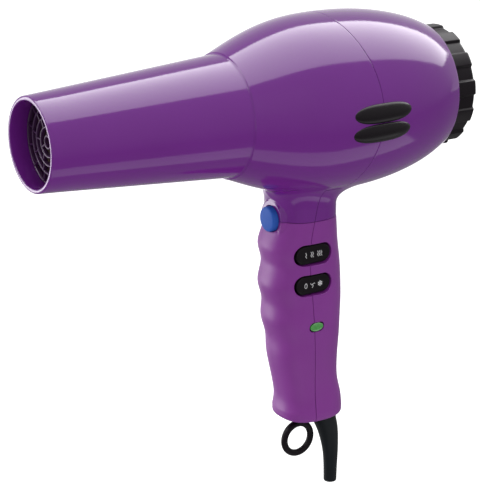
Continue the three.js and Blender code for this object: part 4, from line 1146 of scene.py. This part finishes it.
def rounded_spoke(angle, inner, outer, front, back, width):
    """Bar that runs out from the axis, with the same section as the rings."""
    depth, across = slot_section(front, back, width)
    reach = np.linspace(inner, outer, 4)[:, None]
    y = -reach * math.sin(angle) + across * math.cos(angle)
    z = AXIS_Z + reach * math.cos(angle) + across * math.sin(angle)
    return patch(stacked(depth, y, z), True)


class DRYER_OT_outlet_grille(bpy.types.Operator):
    """Build the set-back outlet grille of rings and staggered spokes"""
    bl_idname = "dryer.outlet_grille"
    bl_label = "Outlet grille"

    def execute(self, context):
        bar = context.scene.dryer_sizes.grille_bar
        front = OUTLET_X + GRILLE_SETBACK
        back = front + GRILLE_DEPTH
        rim = OUTLET_RADIUS - WALL + GRILLE_OVERLAP
        radii = [*GRILLE_RINGS, rim - bar / 2]
        surfaces = [rounded_ring(r, front, back, bar, 48 + 8 * k) for k, r in enumerate(radii)]
        for k, spokes in enumerate(GRILLE_SPOKES):
            for s in range(spokes):
                angle = -2 * math.pi * (s + (k % 2) / 2) / spokes
                surfaces.append(rounded_spoke(angle, radii[k], radii[k + 1], front, back, bar * 0.9))
        make_piece("outlet_grille_fine", surfaces, "dark_purple", "outlet_grille")
        return {"FINISHED"}


# ---------- side pads ----------
def pad_surface(side, angle, bulge):
    """Lens-shaped pad that lies on the body.

    Along it s runs from -1 to 1 and across it t from -1 to 1. Its half height is
    (1 - |s|^2.8)^0.5 of the full one, and it stands out by bulge (1 - t^2)^0.5
    (1 - |s|^2.6)^0.5, less the depth to which its edge is let in.
    """
    s = np.sin(np.linspace(-math.pi / 2, math.pi / 2, 97))[:, None]
    t = np.sin(np.linspace(-math.pi / 2, math.pi / 2, 41))[None, :]
    height = PAD_HALF_HEIGHT * (1 - np.abs(s) ** 2.8) ** 0.5
    out = bulge * np.sqrt(1 - t**2) * np.sqrt(1 - np.abs(s) ** 2.6)
    x = PAD_CENTRE_X + PAD_HALF_LENGTH * s
    reach = body_radius(x)
    turn = math.radians(angle) + height * t / reach
    top, bottom = (
        stacked(x, side * radius * np.cos(turn), AXIS_Z + radius * np.sin(turn))
        for radius in (reach - PAD_EDGE_DEPTH + out, reach - PAD_BACK_DEPTH))
    return patch(np.concatenate([top, bottom[:, ::-1]], 1), True)


class DRYER_OT_side_pads(bpy.types.Operator):
    """Build the four bulging pads on the body's sides"""
    bl_idname = "dryer.side_pads"
    bl_label = "Side pads"

    def execute(self, context):
        bulge = context.scene.dryer_sizes.pad_bulge
        for side_name, side in (("left", -1), ("right", 1)):
            for level, angle in PAD_ANGLES.items():
                node = f"side_pad_{level}_{side_name}"
                make_piece(f"{node}_fine", [pad_surface(side, angle, bulge)], "pad_black", node)
        return {"FINISHED"}


# ---------- filter cap ----------
def cap_surface(height, count):
    """Ring turned about the axis whose outside drops between teeth.

    The drop is height times a smooth step over TOOTH_EDGE, the turn in tooth widths from
    the nearest tooth's middle, and it fades out towards the body and the bore.
    """
    outer = MOUTH_RADIUS - CAP_CLEARANCE
    profile = softened([
        (CAP_FRONT_X, CAP_BORE_RADIUS), (CAP_FRONT_X, outer), (CAP_BACK_X, outer),
        (CAP_BACK_X, CAP_SEAT_RADIUS), (BODY_BACK_X, CAP_SEAT_RADIUS),
        (BODY_BACK_X, CAP_BORE_RADIUS), (CAP_FRONT_X, CAP_BORE_RADIUS)],
        [0.4, 1.5, 0.5, 0, 0])
    extra = stacked(np.linspace(CAP_FRONT_X + 1.5, CAP_BACK_X - 1.8, 40), outer)
    first = np.argmax(profile[:, 0] > CAP_BACK_X - 1.9)
    profile = np.concatenate([profile[:first], extra, profile[first:]])
    turn = full_turn(count * 60)
    phase = np.abs(np.mod(turn * count / (2 * math.pi) + 0.5, 1) - 0.5)
    x, radius = as_columns(profile)
    outside = smooth(outer - 2.4, outer - 0.6, radius)
    outside = outside * smooth(BODY_BACK_X + 0.4, BODY_BACK_X + 1.5, x)
    reach = radius - outside * height * smooth(*TOOTH_EDGE, phase)
    return patch(about_axis(x, reach, turn), True)


class DRYER_OT_filter_cap(bpy.types.Operator):
    """Build the toothed filter cap and its rear grille"""
    bl_idname = "dryer.filter_cap"
    bl_label = "Filter cap"

    def execute(self, context):
        sizes = context.scene.dryer_sizes
        make_piece("filter_cap_fine", [cap_surface(sizes.tooth_height, sizes.tooth_count)],
                   "black_plastic", "filter_cap_ring", "filter_cap_ring")
        back = CAP_BACK_X - 2
        front = back - REAR_GRILLE_DEPTH
        rim, rim_front = REAR_GRILLE_RADIUS, BODY_BACK_X + 0.3
        surfaces = [turned([(rim_front, rim), (back - 0.3, rim), (back, rim - 0.3),
                            (back, rim - 1.2), (back - 0.3, rim - 1.5),
                            (rim_front, rim - 1.5), (rim_front, rim)], 192)]
        surfaces += [rounded_ring(r, front, back, REAR_GRILLE_BAR, 120) for r in REAR_GRILLE_RINGS]
        for k in range(REAR_GRILLE_SPOKES):
            angle = 2 * math.pi * k / REAR_GRILLE_SPOKES
            surfaces.append(rounded_spoke(
                angle, REAR_GRILLE_RINGS[0], rim - 1, front, back, REAR_GRILLE_BAR))
        make_piece("rear_grille_fine", surfaces, "black_plastic", "rear_grille", "filter_insert")
        return {"FINISHED"}


# ---------- controls ----------
class DRYER_OT_cool_shot_button(bpy.types.Operator):
    """Build the round cool-shot button"""
    bl_idname = "dryer.cool_shot_button"
    bl_label = "Cool-shot button"

    def execute(self, context):
        face, flange_x = BUTTON_LOW[0], BUTTON_HIGH[0] - BUTTON_FLANGE_DEPTH
        dome = [(face + 0.55 * (r / BUTTON_RADIUS) ** 2, r)
                for r in np.linspace(0, BUTTON_RADIUS - 1.1, 14)]
        edge = softened([dome[-1], (face + 0.62, BUTTON_RADIUS), (flange_x, BUTTON_RADIUS)], [0.95])
        flange = [(flange_x, BUTTON_FLANGE_RADIUS), (BUTTON_HIGH[0], BUTTON_FLANGE_RADIUS),
                  (BUTTON_HIGH[0], 0)]
        surface = turned(np.concatenate([dome, edge[1:], flange]), 128, NECK_Z)
        make_piece("cool_shot_button_fine", [surface], "blue_button", "cool_shot_button",
                   "cool_shot_button")
        return {"FINISHED"}


def stadium_outline(turn, long, high):
    """Outline of a stadium: a circle of half the height, its halves moved apart.

    The move is smoothed over a few degrees, so that points spread along the flats.
    """
    reach = (long - high) / 2
    spread = np.clip(np.cos(turn) * 6, -1, 1)
    return reach * spread + high / 2 * np.cos(turn), high / 2 * np.sin(turn)


def rocker_face(x):
    """Depth of a rocker's hollowed face at x from its middle: a parabola."""
    return ROCKER_HOLLOW * (1 - (x / (ROCKER_SIZE[0] / 2)) ** 2)


def rocker_surface(place):
    """Rocker cap: a dished stadium face with a rounded edge, side walls and a flat back."""
    (long, high), edge = ROCKER_SIZE, ROCKER_EDGE
    turn = full_turn(160)
    rows = []
    for scale in np.linspace(0, 1, 16):
        x, z = stadium_outline(turn, long - 2 * edge, high - 2 * edge)
        rows.append(stacked(scale * x, ROCKER_FACE_Y + rocker_face(scale * x), scale * z))
    for bend in np.linspace(0, math.pi / 2, 7)[1:]:
        grow = edge * math.sin(bend)
        x, z = stadium_outline(turn, long - 2 * edge + 2 * grow, high - 2 * edge + 2 * grow)
        depth = edge * (1 - math.cos(bend)) + rocker_face(x * 0.93)
        rows.append(stacked(x, ROCKER_FACE_Y + depth, z))
    x, z = stadium_outline(turn, long, high)
    rows.append(stacked(x, ROCKER_FACE_Y + ROCKER_DEPTH, z))
    rows.append(stacked(0 * x, ROCKER_FACE_Y + ROCKER_DEPTH, 0))
    return patch(np.array(rows) + np.array([place[0], 0, place[1]]), True)


def ribbon(line, width):
    """Two sides of a flat strip of even width along a line of (x, z) points.

    Each side is the line moved by half the width along its normal.
    """
    line = np.asarray(line, float)
    tangent = unit(np.gradient(line, axis=0))
    normal = np.stack([-tangent[:, 1], tangent[:, 0]], -1)
    return np.stack([line + normal * width / 2, line - normal * width / 2])


def mark_strips():
    """Lines of the printed signs for each rocker: where each sign's middle is, and its lines.

    Heat has one, two and three waves; speed has a nought, a fan of three blades, each
    (r - r cos t, w sin t), and a snow star.
    """
    up = np.linspace(-1.5, 1.5, 25)
    wave = stacked(0.28 * np.sin(up * 3.4), up)
    turn = np.linspace(0, 2 * math.pi, 41)
    nought = stacked(0.75 * np.cos(turn), 1.25 * np.sin(turn))
    spokes = []
    for k in range(3):
        angle = math.pi * k / 3 + math.pi / 2
        reach = np.linspace(-1.5, 1.5, 5)
        spokes.append(stacked(reach * math.cos(angle), reach * math.sin(angle)))
        for end in (-1, 1):
            tip = np.array([math.cos(angle), math.sin(angle)]) * end
            for lean in (-1, 1):
                branch = np.array([math.cos(angle + lean * 0.9), math.sin(angle + lean * 0.9)]) * end
                spokes.append(np.stack([tip * 0.75, tip * 0.75 + branch * 0.55]))
    blade = np.linspace(0, math.pi, 17)
    fan = []
    for k in range(3):
        angle = 2 * math.pi * k / 3 + 0.3
        u, v = 0.75 - 0.75 * np.cos(blade), 0.42 * np.sin(blade)
        fan.append(stacked(u * math.cos(angle) - v * math.sin(angle),
                           u * math.sin(angle) + v * math.cos(angle)))
    return {
        "heat": [(-4.6, [wave]), (-0.8, [wave - (0.5, 0), wave + (0.5, 0)]),
                 (3.8, [wave - (1.05, 0), wave, wave + (1.05, 0)])],
        "speed": [(-4.7, [nought]), (-0.5, fan), (4.1, spokes)],
    }


class DRYER_OT_rockers(bpy.types.Operator):
    """Build the two rocker caps and the signs printed on them"""
    bl_idname = "dryer.rockers"
    bl_label = "Rockers"

    def execute(self, context):
        signs = mark_strips()
        for name, place in ROCKER_PLACES.items():
            rocker = f"{name}_rocker"
            make_piece(f"{rocker}_fine", [rocker_surface(place)], "black_plastic", rocker, rocker)
            surfaces = []
            for shift, lines in signs[name]:
                for line in lines:
                    flat = ribbon(line, 0.24) + np.array([shift, 0])
                    y = ROCKER_FACE_Y + rocker_face(flat[..., 0]) - 0.05
                    grid = stacked(flat[..., 0] + place[0], y, flat[..., 1] + place[1])
                    back = grid + np.array([0, 0.04, 0])
                    surfaces.append(patch(np.concatenate([grid, back[::-1], grid[:1]])))
            make_piece(f"{name}_signs", surfaces, "cream", body=rocker, finish="white_print")
        return {"FINISHED"}


class DRYER_OT_indicator(bpy.types.Operator):
    """Build the oval indicator lens"""
    bl_idname = "dryer.indicator"
    bl_label = "Indicator lens"

    def execute(self, context):
        middle = (LENS_LOW + LENS_HIGH) / 2
        turn = full_turn(96)
        half_length, half_height = LENS_HALF_SIZE
        rows = []
        # At share k of the way out the face swells by 0.55 (1 - k^2)^0.5.
        for k in np.linspace(0, 1, 14):
            swell = 0.55 * math.sqrt(max(1 - k**2, 0))
            rows.append((k, LENS_LOW[1] + 0.35 - swell))
        rows += [(1, LENS_HIGH[1]), (0, LENS_HIGH[1])]
        scale, y = as_columns(rows)
        grid = stacked(middle[0] + half_length * scale * np.cos(turn), y,
                       middle[2] + half_height * scale * np.sin(turn))
        make_piece("indicator_lens_fine", [patch(grid, True)], "green_lens", "indicator_lens")
        return {"FINISHED"}


# ---------- handle bottom ----------
class DRYER_OT_hang_loop(bpy.types.Operator):
    """Build the hanging loop: an eye, its stem and the shoulder under the handle"""
    bl_idname = "dryer.hang_loop"
    bl_label = "Hanging loop"

    def execute(self, context):
        turn = full_turn(120)[:, None]
        section = full_turn(32)
        thick = LOOP_WIRE_RADIUS + 0.35 * (0.5 + 0.5 * np.cos(turn)) ** 6
        reach = LOOP_RADIUS + LOOP_WIRE_RADIUS * np.cos(section)
        eye = stacked(LOOP_X + reach * np.sin(turn), thick * np.sin(section),
                      LOOP_Z + reach * np.cos(turn))
        closed = np.concatenate([eye, eye[:1]])
        post = upright_turned(LOOP_STEM, 48, LOOP_X)
        make_piece("hang_loop_fine", [patch(closed, True), post], "black_plastic", "hang_loop",
                   "hang_loop")
        return {"FINISHED"}


class DRYER_OT_boot(bpy.types.Operator):
    """Build the tapered boot with its hollow lower end"""
    bl_idname = "dryer.boot"
    bl_label = "Strain relief boot"

    def execute(self, context):
        centre = curve_through([(z, x) for z, x, _ in BOOT_LINE])
        size = curve_through([(z, r) for z, _, r in BOOT_LINE])
        low, high = BOOT_LINE[-1][0], BOOT_LINE[0][0]
        rows = [(BOOT_TOP_Z, 0), (BOOT_TOP_Z, BOOT_NECK_RADIUS), (high + 0.2, BOOT_NECK_RADIUS),
                (high + 0.2, size(high) - 0.3)]
        rows += [(z, size(z)) for z in np.linspace(high, low + 0.6, 90)]
        rows += [(low + 0.18, size(low) - 0.18), (low, size(low) - 0.6),
                 (low, CORD_BORE_RADIUS + 0.15), (low + 0.15, CORD_BORE_RADIUS),
                 (low + CORD_BORE_DEPTH, CORD_BORE_RADIUS), (low + CORD_BORE_DEPTH, 0)]
        surface = upright_turned(rows, 96, centre(np.array(rows)[:, 0]))
        make_piece("boot_fine", [surface], "soft_black", "strain_relief_boot")
        return {"FINISHED"}


class DRYER_OT_inner_finishes(bpy.types.Operator):
    """Give every remaining CAD piece its procedural finish"""
    bl_idname = "dryer.inner_finishes"
    bl_label = "Inner finishes"

    def execute(self, context):
        made = finishes()
        for part in frame["record"]["subparts"]:
            node = frame["nodes"][part["node"]]
            finish = made[part["material_slot"]]
            if not node.material_slots:
                node.data.materials.append(finish)
            for slot in node.material_slots:
                slot.link = "OBJECT"
                slot.material = finish
        return {"FINISHED"}


# ---------- studio ----------
CAMERA_PLACE = (-0.4814, -0.6770, 0.3001)
CAMERA_TARGET = (-0.0375, 0.0, 0.0408)
SENSOR_WIDTH = 36
LENS_LENGTH = 127.0575
FLOOR_HALF_WIDTH = 12.0
FLOOR_Z = -0.75
SQUARE = [(-1, -1), (1, -1), (1, 1), (-1, 1)]


def stage_sheet(name, corners, material):
    """Flat four-cornered sheet of the studio, which isn't part of the dryer."""
    mesh = bpy.data.meshes.new(name)
    mesh.from_pydata([tuple(corner) for corner in corners], [], [(0, 1, 2, 3)])
    mesh.materials.append(material)
    sheet = bpy.data.objects.new(name, mesh)
    bpy.context.scene.collection.objects.link(sheet)
    return sheet


def panel(name, middle, size, normal, bright, dim):
    """Light panel that only reflections show, glowing from dim to bright towards +Y.

    Its sides run along X and along the cross product of its normal and X.
    """
    side = np.array([1.0, 0, 0])
    other = np.cross(unit(np.array(normal, float)), side)
    corners = np.array([np.array(middle) + a * size[0] / 2 * side + b * size[1] / 2 * other
                        for a, b in SQUARE])
    material = bpy.data.materials.new(name)
    nodes = Nodes(material)
    nodes.tree.nodes.remove(nodes.tree.nodes["Principled BSDF"])
    place = nodes.node("ShaderNodeTexCoord", output="Object")
    level = nodes.node("ShaderNodeMapRange", None, {
        "Value": nodes.node("ShaderNodeSeparateXYZ", None, {"Vector": place}, output="Y"),
        "From Min": corners[:, 1].min(), "From Max": corners[:, 1].max(),
        "To Min": dim, "To Max": bright})
    glow = nodes.node("ShaderNodeEmission", None, {"Strength": level})
    nodes.fill(nodes.tree.nodes["Material Output"].inputs["Surface"], glow)
    sheet = stage_sheet(name, corners, material)
    sheet.visible_camera = False
    sheet.visible_diffuse = False
    sheet.visible_shadow = False


def aimed(place, target):
    """Matrix of a camera or lamp at a place that looks at a target, its top side upwards."""
    back = unit(np.array(place, float) - np.array(target, float))
    right = unit(np.cross((0, 1, 0) if abs(back[2]) > 0.9 else (0, 0, 1), back))
    matrix = np.eye(4)
    matrix[:3] = np.stack([right, np.cross(back, right), back, place], 1)
    return Matrix(matrix.tolist())


class DRYER_OT_stage(bpy.types.Operator):
    """Set up the camera, the pale floor and the studio lights"""
    bl_idname = "dryer.stage"
    bl_label = "Studio"

    def execute(self, context):
        scene = context.scene
        studio = scene.dryer_studio
        scene.view_settings.view_transform = "Standard"
        self.camera(scene)
        self.floor()
        self.world(scene, studio.world)
        panel("key_panel", (0.9, 0.02, 1.0), (4.6, 1.2), (0, 0, -1), studio.key, 0.5 * studio.key)
        panel("low_panel", (0.05, -0.5, -0.70), (2.0, 0.36), (0, 0.2, 1), studio.low, studio.low)
        panel("front_flag", (3, -1.14, 0.13), (12, 2.07), (0, 0.841, -0.541), 1.0, studio.flag)
        panel("floor_flag", (3, -0.2, -0.74), (12, 3.0), (0, 0, 1), studio.flag, studio.flag)
        self.lamp("kicker", (-0.95, 1.1, 0.10), (0, 0, 0), (0.6, 1.2), studio.kicker)
        self.lamp("fill", (-0.35, -1.5, 0.75), (0, 0, 0.05), (0.9, 0.9), studio.fill, False)
        self.lamp("top", (0.1, 0.1, 1.6), (0, 0, 0.05), (1.4, 1.4), studio.top, False)
        return {"FINISHED"}

    def camera(self, scene):
        """The camera, at the height and turn from which the dryer is shown."""
        data = bpy.data.cameras.new("camera")
        data.sensor_fit = "HORIZONTAL"
        data.sensor_width = SENSOR_WIDTH
        data.lens = LENS_LENGTH
        data.clip_start = 0.01
        camera = bpy.data.objects.new("camera", data)
        scene.collection.objects.link(camera)
        camera.matrix_world = aimed(CAMERA_PLACE, CAMERA_TARGET)
        scene.camera = camera

    def floor(self):
        """Pale floor that turns plain white to the eye between 0.7 and 1.7 m away."""
        shader = Shader("floor", (0.82, 0.82, 0.82), 0.9, emission_strength=1)
        away = shader.node("ShaderNodeVectorMath", {"operation": "LENGTH"}, {0: shader.place},
                           output="Value")
        reach = shader.node("ShaderNodeMapRange", None, {
            "Value": away, "From Min": 0.7, "From Max": 1.7, "To Max": 0.75})
        shader.set("Emission Color", reach * shader.seen())
        corners = [(a * FLOOR_HALF_WIDTH, b * FLOOR_HALF_WIDTH, FLOOR_Z) for a, b in SQUARE]
        stage_sheet("floor", corners, shader.material)

    def world(self, scene, strength):
        """Even white room, at the given strength for light and at 1 to the eye."""
        scene.world = bpy.data.worlds.new("studio")
        nodes = Nodes(scene.world)
        background = nodes.tree.nodes["Background"]
        nodes.fill(background.inputs["Color"], (1, 1, 1))
        nodes.fill(background.inputs["Strength"], nodes.between(nodes.seen(), strength, 1.0))

    def lamp(self, name, place, target, size, power, mirrored=True):
        """Rectangular area lamp, which reflections show only if mirrored."""
        data = bpy.data.lights.new(name, "AREA")
        data.shape = "RECTANGLE"
        data.size, data.size_y = size
        data.energy = power
        lamp = bpy.data.objects.new(name, data)
        bpy.context.scene.collection.objects.link(lamp)
        lamp.visible_glossy = mirrored
        lamp.matrix_world = aimed(place, target)


class DRYER_PT_panel(bpy.types.Panel):
    """Lists the pieces and the settings"""
    bl_label = "Hair dryer"
    bl_idname = "DRYER_PT_panel"
    bl_space_type = "VIEW_3D"
    bl_region_type = "UI"
    bl_category = "Hair dryer"

    def draw(self, context):
        for group in (context.scene.dryer_sizes, context.scene.dryer_colours,
                      context.scene.dryer_studio):
            for name in group.__annotations__:
                self.layout.prop(group, name)
        for operator in OPERATORS:
            self.layout.operator(operator.bl_idname)


OPERATORS = [
    DRYER_OT_stage, DRYER_OT_barrel, DRYER_OT_body_shells, DRYER_OT_handle_shells,
    DRYER_OT_outlet_grille, DRYER_OT_side_pads, DRYER_OT_filter_cap,
    DRYER_OT_cool_shot_button, DRYER_OT_rockers, DRYER_OT_indicator, DRYER_OT_hang_loop,
    DRYER_OT_boot, DRYER_OT_inner_finishes,
]
GROUPS = {"dryer_sizes": DryerSizes, "dryer_colours": DryerColours, "dryer_studio": DryerStudio}


def register():
    for made in (*GROUPS.values(), *OPERATORS, DRYER_PT_panel):
        bpy.utils.register_class(made)
    for name, group in GROUPS.items():
        setattr(bpy.types.Scene, name, bpy.props.PointerProperty(type=group))


def unregister():
    for name in GROUPS:
        delattr(bpy.types.Scene, name)
    for made in (DRYER_PT_panel, *reversed(OPERATORS), *GROUPS.values()):
        bpy.utils.unregister_class(made)


def main():
    register()
    for operator in OPERATORS:
        group, name = operator.bl_idname.split(".")
        getattr(getattr(bpy.ops, group), name)()


if __name__ == "__main__":
    main()
